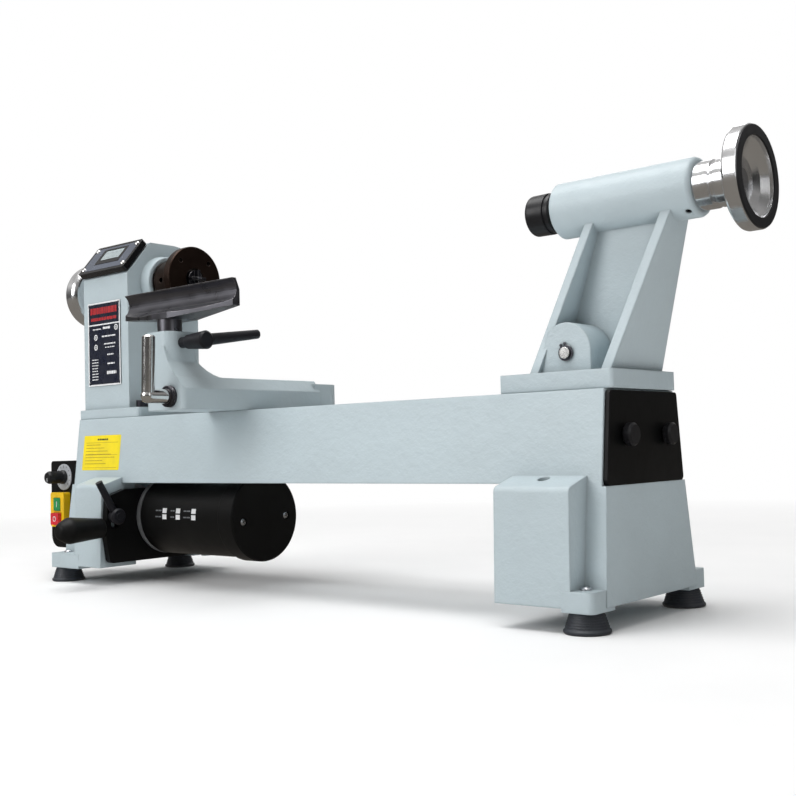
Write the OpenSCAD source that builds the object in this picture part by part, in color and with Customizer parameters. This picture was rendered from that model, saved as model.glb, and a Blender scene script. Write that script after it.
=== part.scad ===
// Midi wood lathe with an electronic speed control.
// +X runs from the headstock to the tailstock, -Y is the operator's side, +Z is up.
// The origin is on the spindle axis, at the front face of the faceplate.
// The modules below are drawn with X = 0 at the tailstock end of the bed and Z = 0 on top of the bed.

/* [Bed] */
// Length of the bed
bed_length = 700; // [690:5:760]
// Width across the top of the bed
bed_top_width = 114; // [112:1:118]
// Height of the bed's side walls
bed_height = 73.3; // [72:0.1:74]
// Width that each side gains per millimetre of height
side_slope = 0.1146; // [0.11:0.001:0.12]
// Thickness of the casting's walls
bed_wall = 9; // [8:0.5:10]
// Thickness of the two ways
way_thickness = 13; // [12:0.5:14]
// Half width of the slot between the ways
slot_half = 19; // [18:0.5:20]

/* [Legs and feet] */
// Height of the casting below the top of the bed
leg_drop = 165; // [164:1:168]
// Height of a rubber foot
foot_height = 16; // [15:1:18]
// Distance from the centre plane to a foot's centre
foot_y = 80; // [79:1:81]
// Length of the leg under the tailstock
right_leg_length = 82; // [80:1:90]
// Length of the leg under the headstock
left_leg_length = 92; // [90:1:96]

/* [Spindle and headstock] */
// Height of the spindle axis above the bed
spindle_height = 155; // [154:0.5:156]
// Distance from the faceplate's front face to the bed's tailstock end
spindle_reach = 554.4; // [553:0.1:556]
// Radius of the faceplate
faceplate_radius = 37.3; // [36:0.1:40]
// Circle on which the faceplate's screw holes lie
faceplate_hole_circle = 56; // [54:1:60]
// Radius of the faceplate's screw holes
faceplate_hole_radius = 2.75; // [2.5:0.05:3]
// Radius of the spindle in its bearings
spindle_radius = 15; // [14:0.5:16]

/* [Motor] */
// Height of the motor's axis
motor_z = -111; // [-112:0.5:-110]
// Distance of the motor's axis from the bed's centre plane
motor_y = -10; // [-12:0.5:-8]
// Radius of the motor's body
motor_radius = 43.5; // [42:0.5:44]
// Radius of the motor's end cap
motor_cap_radius = 46.5; // [45:0.5:47]
// Radius of the belt on the spindle pulley
spindle_pulley_radius = 30; // [30:1:31]
// Radius of the belt on the motor pulley
motor_pulley_radius = 27; // [27:1:28]

/* [Banjo and tool rest] */
// Distance from the bed's tailstock end to the banjo's centre line
banjo_x = -436.5; // [-440:0.5:-432]
// Front face of the banjo
banjo_front = -139; // [-142:1:-136]
// Radius of the tool rest's post
post_radius = 12; // [11.5:0.1:12.2]
// Length of the tool rest's blade
rest_length = 170; // [150:1:180]
// Height of the tool rest's edge
rest_height = 125; // [124:1:130]

/* [Tailstock] */
// Radius of the tailstock's barrel
barrel_radius = 23.6; // [23:0.1:25]
// Radius of the quill
quill_radius = 14.5; // [14:0.1:15]
// Radius of the tail handwheel
tail_wheel_radius = 40; // [38:0.5:42]

/* [Hidden] */
$fn = 96;
fit = 0.05;
ground_z = -leg_drop - 3 - foot_height;

// ---------------------------------------------------------------- helpers

function unit(v) = v / norm(v);

// The arc, or the sharp point, that stands for one corner of an outline; a corner is [x, y, radius].
function corner_points(before, corner, after, steps) =
    corner[2] == 0 || corner[2] == undef
        ? [[corner[0], corner[1]]]
        : let (
            p = [corner[0], corner[1]],
            a = unit([before[0], before[1]] - p),
            b = unit([after[0], after[1]] - p),
            half = acos(a * b) / 2,
            centre = p + unit(a + b) * corner[2] / sin(half),
            from = p + a * corner[2] / tan(half) - centre,
            to = p + b * corner[2] / tan(half) - centre,
            start = atan2(from[1], from[0]),
            turn = atan2(from[0] * to[1] - from[1] * to[0], from * to)
        ) [for (k = [0 : steps]) centre + corner[2] * [cos(start + turn * k / steps), sin(start + turn * k / steps)]];

function rounded(corners, steps = 6) = [
    for (i = [0 : len(corners) - 1])
        each corner_points(
            corners[(i + len(corners) - 1) % len(corners)],
            corners[i],
            corners[(i + 1) % len(corners)],
            steps
        )
];

module box(x, y, z) {
    translate([x[0], y[0], z[0]]) cube([x[1] - x[0], y[1] - y[0], z[1] - z[0]]);
}

module cylinder_x(x, r, y = 0, z = 0, r_end = undef) {
    translate([x[0], y, z]) rotate([0, 90, 0])
        cylinder(h = x[1] - x[0], r1 = r, r2 = is_undef(r_end) ? r : r_end);
}

module cylinder_y(y, r, x = 0, z = 0, r_end = undef) {
    translate([x, y[0], z]) rotate([-90, 0, 0])
        cylinder(h = y[1] - y[0], r1 = r, r2 = is_undef(r_end) ? r : r_end);
}

module cylinder_z(z, r, x = 0, y = 0, r_end = undef) {
    translate([x, y, z[0]]) cylinder(h = z[1] - z[0], r1 = r, r2 = is_undef(r_end) ? r : r_end);
}

// An outline in Y and Z, drawn out along X.
module along_x(x, outline) {
    translate([x[0], 0, 0]) rotate([90, 0, 90]) linear_extrude(x[1] - x[0]) polygon(outline);
}

// An outline in X and Z, drawn out along Y.
module along_y(y, outline) {
    translate([0, y[1], 0]) rotate([90, 0, 0]) linear_extrude(y[1] - y[0]) polygon(outline);
}

// An outline in X and Y, drawn out along Z.
module along_z(z, outline) {
    translate([0, 0, z[0]]) linear_extrude(z[1] - z[0]) polygon(outline);
}

// An outline of [x, radius] points turned about the X axis.
module turned_x(points) {
    rotate([0, 90, 0]) rotate_extrude() polygon([for (p = points) [p[1], p[0]]]);
}

// An outline of [z, radius] points turned about the Z axis.
module turned_z(points) {
    rotate_extrude() polygon([for (p = points) [p[1], p[0]]]);
}

module on_spindle_axis() {
    translate([0, 0, spindle_height]) children();
}

module mirrored_y() {
    children();
    mirror([0, 1, 0]) children();
}

// From the bed's own coordinates to the row frame.
module placed() {
    translate([spindle_reach, 0, -spindle_height]) children();
}

module socket_screw(r, head_r, head_h, length) {
    translate([0, 0, -length]) cylinder(h = length + 1, r = r);
    difference() {
        cylinder(h = head_h, r = head_r);
        translate([0, 0, head_h / 2]) cylinder(h = head_h, r = head_r * 0.5, $fn = 6);
    }
}

// ---------------------------------------------------------------- bed

bed_top_half = bed_top_width / 2;
function side_half(z) = bed_top_half - z * side_slope;

// Legs are drawn for the tailstock end, where the bed ends at X = 0.
leg_pad_end = -13;
left_pad_end = -42;
leg_splay = 3;
shelf_wall_z = -66.5;
shelf_edge_z = -75;
pad_top_half = 92;
pad_foot_half = 95;
pad_wall = 8;
boss_top_z = -152;
boss_bottom_z = -leg_drop - 3;
foot_x = -8;
boss_end = 6;
foot_screw_radius = 3;
leg_step = 4;

// How far the leg's end face stands out past the end of the bed.
function leg_end(z) = leg_step + leg_splay * (shelf_edge_z - z) / (shelf_edge_z - boss_bottom_z);

leg_end_outline = [
    [-200, 1],
    [0, 1],
    [0, shelf_edge_z],
    [leg_step, shelf_edge_z],
    [leg_end(boss_bottom_z), boss_bottom_z],
    [-200, boss_bottom_z]
];

module leg_pad(x, half_top, half_foot, top_half, z_top, z_edge, z_bottom) {
    along_x(x, rounded([
        [-top_half, z_top],
        [-half_top, z_edge, 5],
        [-half_foot, z_bottom],
        [half_foot, z_bottom],
        [half_top, z_edge, 5],
        [top_half, z_top]
    ]));
}

module leg_solid(length, pad_end) {
    intersection() {
        along_x([-length, 12], [
            [-bed_top_half, 0],
            [bed_top_half, 0],
            [side_half(-leg_drop), -leg_drop],
            [-side_half(-leg_drop), -leg_drop]
        ]);
        along_y([-120, 120], leg_end_outline);
    }
    leg_pad([-length, pad_end], pad_top_half, pad_foot_half, side_half(shelf_wall_z) - 1,
        shelf_wall_z, shelf_edge_z, -leg_drop);
    mirrored_y() along_z([boss_bottom_z, boss_top_z], rounded([
        [pad_end - 8, 62],
        [boss_end, 62],
        [boss_end, pad_foot_half, 5],
        [pad_end - 8, pad_foot_half]
    ]));
}

module leg_hollow(length, pad_end) {
    inner = -length + pad_wall;
    intersection() {
        along_x([inner, 8], [
            [-side_half(0) + bed_wall + 1, -way_thickness],
            [side_half(0) - bed_wall - 1, -way_thickness],
            [side_half(-leg_drop) - bed_wall, -leg_drop - 4],
            [-side_half(-leg_drop) + bed_wall, -leg_drop - 4]
        ]);
        along_y([-120, 120], [
            [-200, 1],
            [-pad_wall, 1],
            [-pad_wall, shelf_edge_z],
            [leg_splay - pad_wall, -leg_drop - 4],
            [-200, -leg_drop - 4]
        ]);
    }
    leg_pad([inner, pad_end - pad_wall], pad_top_half - pad_wall, pad_foot_half - pad_wall,
        side_half(shelf_wall_z) - bed_wall, shelf_wall_z - 9, shelf_edge_z - 8, -leg_drop - 4);
    mirrored_y() cylinder_z([boss_bottom_z - 1, boss_top_z + 1], foot_screw_radius + fit, x = foot_x, y = foot_y);
}

// The notch in the middle of each shelf gives room for a stand bolt.
module shelf_notch(pad_middle) {
    mirrored_y() cylinder_z([-77, -56], 5, x = pad_middle, y = 72);
}

module at_left_leg() {
    translate([-bed_length, 0, 0]) mirror([1, 0, 0]) children();
}

motor_face_x = -bed_length + left_leg_length;
belt_x = -656;
slot_end = -10;

module bed_casting() {
    color("lightsteelblue") placed() difference() {
        union() {
            along_x([-bed_length, 0], [
                [-bed_top_half, 0],
                [bed_top_half, 0],
                [side_half(-bed_height), -bed_height],
                [-side_half(-bed_height), -bed_height]
            ]);
            leg_solid(right_leg_length, leg_pad_end);
            at_left_leg() leg_solid(left_leg_length, left_pad_end);
        }
        // space under the ways
        difference() {
            along_x([-bed_length + pad_wall, -pad_wall], [
                [-bed_top_half + bed_wall + 1, -way_thickness],
                [bed_top_half - bed_wall - 1, -way_thickness],
                [side_half(-bed_height) - bed_wall, -bed_height - 1],
                [-side_half(-bed_height) + bed_wall, -bed_height - 1]
            ]);
            for (x = [-410, -300, -190])
                box([x - 4, x + 4], [-60, 60], [-bed_height + 4, -bed_height + 24]);
        }
        leg_hollow(right_leg_length, leg_pad_end);
        at_left_leg() leg_hollow(left_leg_length, left_pad_end);
        shelf_notch((leg_pad_end - right_leg_length) / 2);
        // slot between the ways, and the belt's way through under the headstock
        along_z([-way_thickness - 1, 1], rounded([
            [-590, -slot_half, 4],
            [slot_end, -slot_half, 4],
            [slot_end, slot_half, 4],
            [-590, slot_half, 4]
        ]));
        box([belt_x - 18, belt_x + 18], [-40, 40], [-way_thickness - 1, 1]);
        // opening in the inner wall of the headstock leg for the motor shaft and its pulley
        along_x([motor_face_x - pad_wall - 1, motor_face_x + 1], rounded([
            [-48, -68, 12],
            [52, -68, 12],
            [52, -leg_drop - 4],
            [-48, -leg_drop - 4]
        ]));
        end_plate_screw_holes();
        motor_pivot_hole();
        tension_stud_hole();
        headstock_bolt_holes();
    }
}

module foot_at() {
    for (y = [-foot_y, foot_y]) {
        translate([foot_x, y, 0]) children();
        at_left_leg() translate([foot_x, y, 0]) children();
    }
}

module rubber_feet() {
    color("dimgray") placed() foot_at() translate([0, 0, ground_z]) difference() {
        turned_z([
            [0, 0],
            [0, 17.2],
            [1.2, 18.2],
            [2.6, 18.2],
            [4, 16.8],
            [foot_height - 1.5, 13.4],
            [foot_height, 12.4],
            [foot_height, 0]
        ]);
        translate([0, 0, 4]) cylinder(h = foot_height, r = foot_screw_radius + fit);
        translate([0, 0, -1]) cylinder(h = 2.5, r = 7);
    }
}

module foot_screws() {
    color("silver") placed() foot_at() {
        cylinder_z([ground_z + 5, boss_top_z + 1], foot_screw_radius);
        translate([0, 0, boss_top_z + fit]) turned_z([[0, 0], [0, 4.7], [1, 4.6], [2.2, 3.2], [2.6, 0]]);
    }
}

end_plate_knob_y = 33;
end_plate_knob_z = -36;

module end_plate_screw_holes() {
    mirrored_y() cylinder_x([-12, 6], 3 + fit, y = end_plate_knob_y, z = end_plate_knob_z);
}

module bed_end_plate() {
    top = -1.5;
    bottom = shelf_edge_z + fit;
    color("black") placed() difference() {
        along_x([fit, 4], rounded([
            [-side_half(top) + 1.6, top, 3],
            [side_half(top) - 1.6, top, 3],
            [side_half(bottom) - 1.6, bottom, 4],
            [-side_half(bottom) + 1.6, bottom, 4]
        ]));
        end_plate_screw_holes();
    }
}

module end_plate_knobs() {
    color("black") placed() mirrored_y() translate([4 + fit, end_plate_knob_y, end_plate_knob_z]) {
        cylinder_x([-14, 1], 3);
        turned_x([[0, 0], [0, 6.5], [1.5, 7.5], [2.5, 9.2], [7, 9.2], [8.6, 7.6], [8.6, 0]]);
    }
}

// ---------------------------------------------------------------- headstock

head_left = -698;
head_right = -612;
head_front = -50.5;
head_back = 50.5;
head_top = 203;
head_wall = 7;
slope_foot = [head_front, 165];
slope_top = [-19, head_top];
spindle_boss_end = -599;
flange_top = 11;
bearing_radius = 26;
bearing_width = 12;

headstock_bolt_places = [[-600, -42], [-600, 42], [-682, -30], [-682, 30]];

module headstock_bolt_holes() {
    for (p = headstock_bolt_places) cylinder_z([-way_thickness - 2, flange_top + 1], 4 + fit, x = p[0], y = p[1]);
}

module headstock_shell(x, inset) {
    along_x(x, rounded([
        [head_front + inset, -1],
        [head_front + inset, slope_foot[1] - inset * 0.4, 3],
        [slope_top[0] + inset * 0.4, head_top - inset, 4],
        [head_back - inset, head_top - inset, 34 - inset],
        [head_back - inset, -1]
    ]));
}

door_x = [-691, -619];
door_z = [30, 140];

module headstock_casting() {
    color("lightsteelblue") placed() difference() {
        union() {
            intersection() {
                headstock_shell([head_left, head_right], 0);
                box([-800, 0], [-100, 100], [0.05, 300]);
            }
            along_z([0.05, flange_top], rounded([
                [-704, -55, 4],
                [-590, -55, 5],
                [-590, 55, 5],
                [-704, 55, 4]
            ]));
            on_spindle_axis() turned_x([
                [head_right - 2, 0],
                [head_right - 2, 33],
                [head_right + 1.5, 33],
                [spindle_boss_end - 1, 31],
                [spindle_boss_end, 30],
                [spindle_boss_end, 0]
            ]);
            on_spindle_axis() cylinder_x([head_left - 6, head_left + 1], 30);
        }
        headstock_shell([head_left + head_wall, head_right - head_wall], head_wall);
        on_spindle_axis() cylinder_x([head_left - 7, spindle_boss_end + 1], spindle_radius + 1.5);
        on_spindle_axis() cylinder_x([head_left - 7, head_left - 6 + bearing_width], bearing_radius + fit);
        on_spindle_axis() cylinder_x([spindle_boss_end - bearing_width, spindle_boss_end + 1], bearing_radius + fit);
        box([door_x[0] + 5, door_x[1] - 5], [head_back - head_wall - 1, head_back + 1],
            [door_z[0] + 5, door_z[1] - 5]);
        headstock_bolt_holes();
        info_rivet_holes();
    }
}

module headstock_bolts() {
    color("black") placed() for (p = headstock_bolt_places)
        translate([p[0], p[1], flange_top * (p[0] > head_right ? 1 : 0) + fit])
            socket_screw(4, 6.5, 8, (p[0] > head_right ? flange_top : 0) + way_thickness + 1);
}

// Local frame on the sloping front of the headstock: Y runs up the slope and Z stands off it.
slope_angle = atan2(slope_top[1] - slope_foot[1], slope_top[0] - slope_foot[0]);
display_length = 46;
display_width = 88;
display_thickness = 8;

module on_display_slope() {
    translate([-700, slope_foot[0] - 0.3, slope_foot[1] + 1]) rotate([slope_angle, 0, 0]) children();
}

display_screw_places = [[6, 7], [82, 7], [6, 39], [82, 39]];

module display_housing() {
    color("black") placed() on_display_slope() difference() {
        translate([0, 0, 1]) linear_extrude(display_thickness - 1) polygon(rounded([
            [0, 0, 3],
            [display_width, 0, 3],
            [display_width, display_length, 3],
            [0, display_length, 3]
        ]));
        translate([0, 0, display_thickness - 1.2]) linear_extrude(3) polygon(rounded([
            [22, 15, 2],
            [66, 15, 2],
            [66, 37, 2],
            [22, 37, 2]
        ]));
        for (p = display_screw_places) translate([p[0], p[1], 0]) cylinder(h = 20, r = 1.5 + fit);
    }
}

module display_window() {
    color("lightgray") placed() on_display_slope() translate([0, 0, display_thickness - 1.2 + fit])
        linear_extrude(0.9) polygon(rounded([
            [22.2, 15.2, 1.8],
            [65.8, 15.2, 1.8],
            [65.8, 36.8, 1.8],
            [22.2, 36.8, 1.8]
        ]));
}

module display_screws() {
    color("silver") placed() on_display_slope() for (p = display_screw_places) translate([p[0], p[1], 0]) {
        translate([0, 0, 1.2]) cylinder(h = display_thickness, r = 1.5);
        translate([0, 0, display_thickness + fit]) turned_z([[0, 0], [0, 3.2], [0.8, 3], [1.8, 1.9], [2.1, 0]]);
    }
}

info_plate_x = [-689, -626];
info_plate_z = [38.5, 136];

module info_rivet_places() {
    for (x = [info_plate_x[0] + 3, info_plate_x[1] - 3])
        for (z = [info_plate_z[0] + 3, info_plate_z[1] - 3])
            translate([x, head_front, z]) rotate([90, 0, 0]) children();
}

module info_rivet_holes() {
    info_rivet_places() translate([0, 0, -5]) cylinder(h = 6, r = 1);
}

module info_plate() {
    color("navy") placed() {
        along_y([head_front - 0.9, head_front - fit], rounded([
            [info_plate_x[0], info_plate_z[0], 3],
            [info_plate_x[1], info_plate_z[0], 3],
            [info_plate_x[1], info_plate_z[1], 3],
            [info_plate_x[0], info_plate_z[1], 3]
        ]));
        info_rivet_places() {
            translate([0, 0, -4]) cylinder(h = 5, r = 0.95);
            translate([0, 0, 0.8]) turned_z([[0, 0], [0, 1.8], [0.5, 1.5], [0.8, 0.6], [0.85, 0]]);
        }
    }
}

door_hinge_z = door_z[0] + 2;
door_hinge_y = head_back + 5;

module belt_door() {
    color("lightsteelblue") placed() difference() {
        union() {
            along_y([head_back + 0.4, head_back + 4], rounded([
                [door_x[0], door_z[0] + 6, 4],
                [door_x[1], door_z[0] + 6, 4],
                [door_x[1], door_z[1], 6],
                [door_x[0], door_z[1], 6]
            ]));
            for (x = [door_x[0] + 10, door_x[1] - 22])
                difference() {
                    union() {
                        cylinder_x([x, x + 12], 3.4, y = door_hinge_y, z = door_hinge_z);
                        box([x, x + 12], [head_back + 1, head_back + 4], [door_hinge_z, door_z[0] + 8]);
                    }
                    cylinder_x([x - 1, x + 13], 1.5 + fit, y = door_hinge_y, z = door_hinge_z);
                }
        }
        cylinder_y([head_back - 1, head_back + 6], 3 + fit, x = (door_x[0] + door_x[1]) / 2, z = door_z[1] - 10);
    }
}

// A long pin held in three lugs on the headstock's back.
module belt_door_hinge() {
    color("silver") placed() {
        cylinder_x([door_x[0] + 3, door_x[1] - 3], 1.5, y = door_hinge_y, z = door_hinge_z);
        for (x = [[door_x[0] + 3, door_x[0] + 9.5], [door_x[0] + 22.5, door_x[1] - 22.5], [door_x[1] - 9.5, door_x[1] - 3]]) {
            cylinder_x(x, 3, y = door_hinge_y, z = door_hinge_z);
            box(x, [head_back + fit, door_hinge_y], [door_hinge_z - 3, door_hinge_z + 3]);
        }
    }
}

module belt_door_knob() {
    color("black") placed() translate([(door_x[0] + door_x[1]) / 2, head_back + 4 + fit, door_z[1] - 10])
        rotate([-90, 0, 0]) {
            translate([0, 0, -3.6]) cylinder(h = 5, r = 3);
            turned_z([[0, 0], [0, 6], [4, 6.5], [6, 9.5], [13, 9.5], [15, 8], [15, 0]]);
        }
}

// ---------------------------------------------------------------- spindle

spindle_end_left = -752;
nose_radius = 12.7;
nose_shoulder = -597;
nose_end = -563;
pulley_half = 22;

module spindle() {
    color("silver") placed() on_spindle_axis() difference() {
        turned_x([
            [spindle_end_left, 0],
            [spindle_end_left, 9],
            [-708, 9],
            [-708, spindle_radius],
            [nose_shoulder, spindle_radius],
            [nose_shoulder, nose_radius],
            [nose_end, nose_radius],
            [nose_end, 0]
        ]);
        cylinder_x([spindle_end_left - 1, nose_end + 1], 4.8);
        cylinder_x([nose_end - 60, nose_end + 0.01], 6.6, r_end = 8.9);
    }
}

module spindle_bearings() {
    color("silver") placed() on_spindle_axis()
        for (x = [head_left - 6, spindle_boss_end - bearing_width])
            translate([x, 0, 0]) turned_x([
                [0.2, spindle_radius + fit],
                [bearing_width - 0.2, spindle_radius + fit],
                [bearing_width - 0.2, bearing_radius],
                [0.2, bearing_radius]
            ]);
}

// A stepped pulley with three belt seats; the middle one carries the belt.
module stepped_pulley(middle, bore, larger_towards) {
    step = 6;
    seat = 14;
    function r_at(i) = middle + larger_towards * step * i;
    difference() {
        turned_x([
            [-1.5 * seat - 1, 0],
            for (i = [-1 : 1])
                each [
                    [(i - 0.5) * seat - 1, r_at(i) + 1.5],
                    [(i - 0.5) * seat + 0.6, r_at(i) + 1.5],
                    [(i - 0.5) * seat + 0.6, r_at(i) - fit],
                    [(i + 0.5) * seat - 1.6, r_at(i) - fit],
                    [(i + 0.5) * seat - 1.6, r_at(i) + 1.5],
                    [(i + 0.5) * seat - 1, r_at(i) + 1.5]
                ],
            [1.5 * seat - 1, 0]
        ]);
        cylinder_x([-50, 50], bore + fit);
    }
}

module spindle_pulley() {
    color("gray") placed() on_spindle_axis() translate([belt_x + 0.5, 0, 0])
        stepped_pulley(spindle_pulley_radius, spindle_radius, 1);
}

module spindle_handwheel() {
    color("gainsboro") placed() on_spindle_axis() difference() {
        turned_x(rounded([
            [-763, 0],
            [-763, 26, 6],
            [-755, 39, 9],
            [-736, 39.5, 9],
            [-731, 24, 5],
            [-720, 15],
            [-709, 15],
            [-709, 0]
        ]));
        cylinder_x([-753, -700], 9 + fit);
        cylinder_x([-764, -740], 7.5);
    }
}

faceplate_back = -spindle_reach - 10;

module faceplate() {
    color("#2a1f1c") placed() on_spindle_axis() difference() {
        turned_x([
            [nose_shoulder + fit, 0],
            [nose_shoulder + fit, 24],
            [nose_shoulder + 1.5, 26],
            [faceplate_back, 26],
            [faceplate_back, faceplate_radius - 0.8],
            [faceplate_back + 0.8, faceplate_radius],
            [-spindle_reach - 0.8, faceplate_radius],
            [-spindle_reach, faceplate_radius - 0.8],
            [-spindle_reach, 0]
        ]);
        cylinder_x([-600, -spindle_reach + 1], nose_radius + fit);
        for (a = [45 : 90 : 315])
            rotate([a, 0, 0])
                cylinder_x([faceplate_back - 1, -spindle_reach + 1], faceplate_hole_radius, y = faceplate_hole_circle / 2);
        for (a = [0 : 90 : 270])
            rotate([a, 0, 0]) cylinder_z([nose_radius - 1, 27], 3.2, x = -583);
    }
}

module drive_centre() {
    color("dimgray") placed() on_spindle_axis() {
        cylinder_x([nose_end - 55, nose_end + 0.4], 6.55, r_end = 8.65);
        difference() {
            cylinder_x([nose_end + 0.2, -547], 10);
            for (a = [0, 90])
                rotate([a, 0, 0])
                    mirrored_y() box([-553, -546], [2.2, 12], [1.6, 12]);
            for (a = [0, 90])
                rotate([a, 0, 0])
                    mirrored_y() box([-553, -546], [2.2, 12], [-12, -1.6]);
        }
        cylinder_x([-549, -543], 2.6, r_end = 0.3);
    }
}

// ---------------------------------------------------------------- belt and motor

belt_width = 11;
belt_thickness = 3;

// The loop touches both circles: each strand is a common tangent, and the ends are arcs.
module belt_loop(grow) {
    across = [motor_y, motor_z - spindle_height];
    down = atan2(across[1], across[0]);
    wrap = acos((spindle_pulley_radius - motor_pulley_radius) / norm(across));
    steps = 48;
    polygon([
        for (k = [0 : steps])
            let (a = down + wrap + (360 - 2 * wrap) * k / steps)
            [0, spindle_height] + (spindle_pulley_radius + grow) * [cos(a), sin(a)],
        for (k = [0 : steps])
            let (a = down - wrap + 2 * wrap * k / steps)
            [motor_y, motor_z] + (motor_pulley_radius + grow) * [cos(a), sin(a)]
    ]);
}

module drive_belt() {
    color("#1c1c1c") placed() translate([belt_x - belt_width / 2, 0, 0]) rotate([90, 0, 90])
        linear_extrude(belt_width) difference() {
            belt_loop(belt_thickness);
            belt_loop(0.1);
        }
}

motor_flange_x = -599;
motor_cap_seam = -457;
motor_right = -435;

module motor_body() {
    color("#181818") placed() translate([0, motor_y, motor_z]) turned_x([
        [motor_flange_x + fit, 0],
        [motor_flange_x + fit, 39],
        [motor_flange_x + 5, 39],
        [motor_flange_x + 6.5, motor_radius - 1.5],
        [motor_flange_x + 8.5, motor_radius],
        [motor_cap_seam - fit, motor_radius],
        [motor_cap_seam - fit, 0]
    ]);
}

motor_screw_places = [[-30, -3.5], [30, 0]];
cable_radius = 3;
cable_y = motor_y + 46;
cable_z = -92;

module motor_end_cap() {
    color("#101010") placed() translate([0, motor_y, motor_z]) difference() {
        turned_x([
            [motor_cap_seam, 0],
            [motor_cap_seam, motor_cap_radius],
            [motor_right - 1.5, motor_cap_radius],
            [motor_right, motor_cap_radius - 1.5],
            [motor_right, 0]
        ]);
        for (p = motor_screw_places) cylinder_x([motor_right - 3, motor_right + 1], 4.2, y = p[0], z = p[1]);
        for (p = motor_screw_places) cylinder_x([motor_right - 20, motor_right], 2 + fit, y = p[0], z = p[1]);
    }
}

module motor_cap_screws() {
    color("silver") placed() translate([motor_right - 3 + fit, motor_y, motor_z])
        for (p = motor_screw_places) translate([0, p[0], p[1]]) {
            cylinder_x([-16, 1], 2);
            turned_x([[0, 0], [0, 3.8], [2, 3.6], [2.8, 2.4], [3, 0]]);
        }
}

module motor_terminal_box() {
    color("#202020") placed() difference() {
        translate([0, motor_y, 0]) along_x([-540, -470], rounded([
            [30, -80, 2],
            [52, -80, 3],
            [52, -104, 3],
            [38, -110],
            [30, -96]
        ]));
        translate([0, motor_y, motor_z]) cylinder_x([-560, motor_cap_seam], motor_radius + fit);
        cylinder_x([-545, -530], cable_radius + fit, y = cable_y, z = cable_z);
    }
}

motor_pivot_y = 62;
motor_pivot_z = -92;
plate_x = [motor_face_x + 1, motor_face_x + 9];
plate_front = -93;
tension_stud_y = -83;
tension_stud_z = -109;

module motor_pivot_hole() {
    cylinder_x([motor_face_x - 20, motor_face_x + 1], 5 + fit, y = motor_pivot_y, z = motor_pivot_z);
}

module tension_stud_hole() {
    cylinder_x([motor_face_x - pad_wall - 1, motor_face_x + 1], 4 + fit, y = tension_stud_y, z = tension_stud_z);
}

// The plate swings about its pivot, and a curved slot lets it pass the lock lever's stud.
slot_swing = 5;

module motor_plate() {
    slot_radius = norm([tension_stud_y - motor_pivot_y, tension_stud_z - motor_pivot_z]);
    slot_angle = atan2(tension_stud_z - motor_pivot_z, tension_stud_y - motor_pivot_y);
    color("#151515") placed() difference() {
        along_x(plate_x, rounded([
            [plate_front + 3, -87, 6],
            [-68, -80, 6],
            [74, -80, 10],
            [74, -106, 10],
            [52, -150, 12],
            [30, -160, 6],
            [-88, -160, 5],
            [plate_front, -130, 6]
        ]));
        cylinder_x([plate_x[0] - 1, plate_x[1] + 1], 16, y = motor_y, z = motor_z);
        cylinder_x([plate_x[0] - 1, plate_x[1] + 1], 5 + fit, y = motor_pivot_y, z = motor_pivot_z);
        translate([plate_x[0] - 1, motor_pivot_y, motor_pivot_z]) rotate([90, 0, 90]) linear_extrude(10)
            polygon([
                for (a = [-slot_swing : 1 : slot_swing])
                    (slot_radius + 4.6) * [cos(slot_angle + a), sin(slot_angle + a)],
                for (a = [slot_swing : -1 : -slot_swing])
                    (slot_radius - 4.6) * [cos(slot_angle + a), sin(slot_angle + a)]
            ]);
        cylinder_y([plate_front - 1, tension_pin_end], tension_pin_radius + fit, x = tension_rod_x, z = tension_rod_z);
        cylinder_x([plate_x[0] - 1, plate_x[1] + 1], cable_radius + fit, y = cable_y, z = cable_z);
    }
}

module motor_pivot_bolt() {
    color("silver") placed() translate([plate_x[1] + fit, motor_pivot_y, motor_pivot_z]) {
        cylinder_x([-24, 1], 5);
        cylinder_x([0, 1.6], 10);
        rotate([0, 90, 0]) translate([0, 0, 1.5]) cylinder(h = 6, r = 8.5, $fn = 6);
    }
}

module motor_shaft() {
    color("silver") placed() cylinder_x([-684, motor_flange_x], 8, y = motor_y, z = motor_z);
}

module motor_pulley() {
    color("gray") placed() translate([belt_x + 0.5, motor_y, motor_z]) stepped_pulley(motor_pulley_radius, 8, -1);
}

module motor_cable() {
    color("#202020") placed() {
        cylinder_x([-640, -530.2], cable_radius, y = cable_y, z = cable_z);
    }
}

tension_rod_x = (plate_x[0] + plate_x[1]) / 2;
tension_rod_z = -121;
tension_rod_radius = 4.4;
tension_pin_radius = 3;
tension_pin_end = plate_front + 4.6;

module tension_rod() {
    color("silver") placed() translate([tension_rod_x, 0, tension_rod_z]) {
        cylinder_y([-140, plate_front - fit], tension_rod_radius);
        cylinder_y([plate_front - 1, tension_pin_end - fit], tension_pin_radius);
    }
}

module tension_grip() {
    color("#101010") placed() translate([tension_rod_x, 0, tension_rod_z]) difference() {
        rotate([90, 0, 0]) turned_z(rounded([
            [96, 0],
            [96, 10.5, 1.5],
            [138, 14.4, 13],
            [150, 8, 6],
            [151, 0]
        ]));
        cylinder_y([-140.2, -80], tension_rod_radius + fit);
    }
}

module lock_lever(hub_r, hub_length, arm_length, arm_r, tip_r, stud_r, stud_length) {
    cylinder(h = hub_length, r1 = hub_r * 0.82, r2 = hub_r);
    translate([0, 0, hub_length - 0.01]) cylinder(h = 2, r1 = hub_r, r2 = hub_r * 0.8);
    translate([0, 0, hub_length + 1.9]) cylinder(h = 1.2, r = hub_r * 0.42);
    translate([0, 0, -stud_length]) cylinder(h = stud_length + 1, r = stud_r);
    translate([0, 0, hub_length - arm_r]) rotate([-90, 0, 0]) cylinder(h = arm_length, r1 = arm_r, r2 = tip_r);
}

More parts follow.
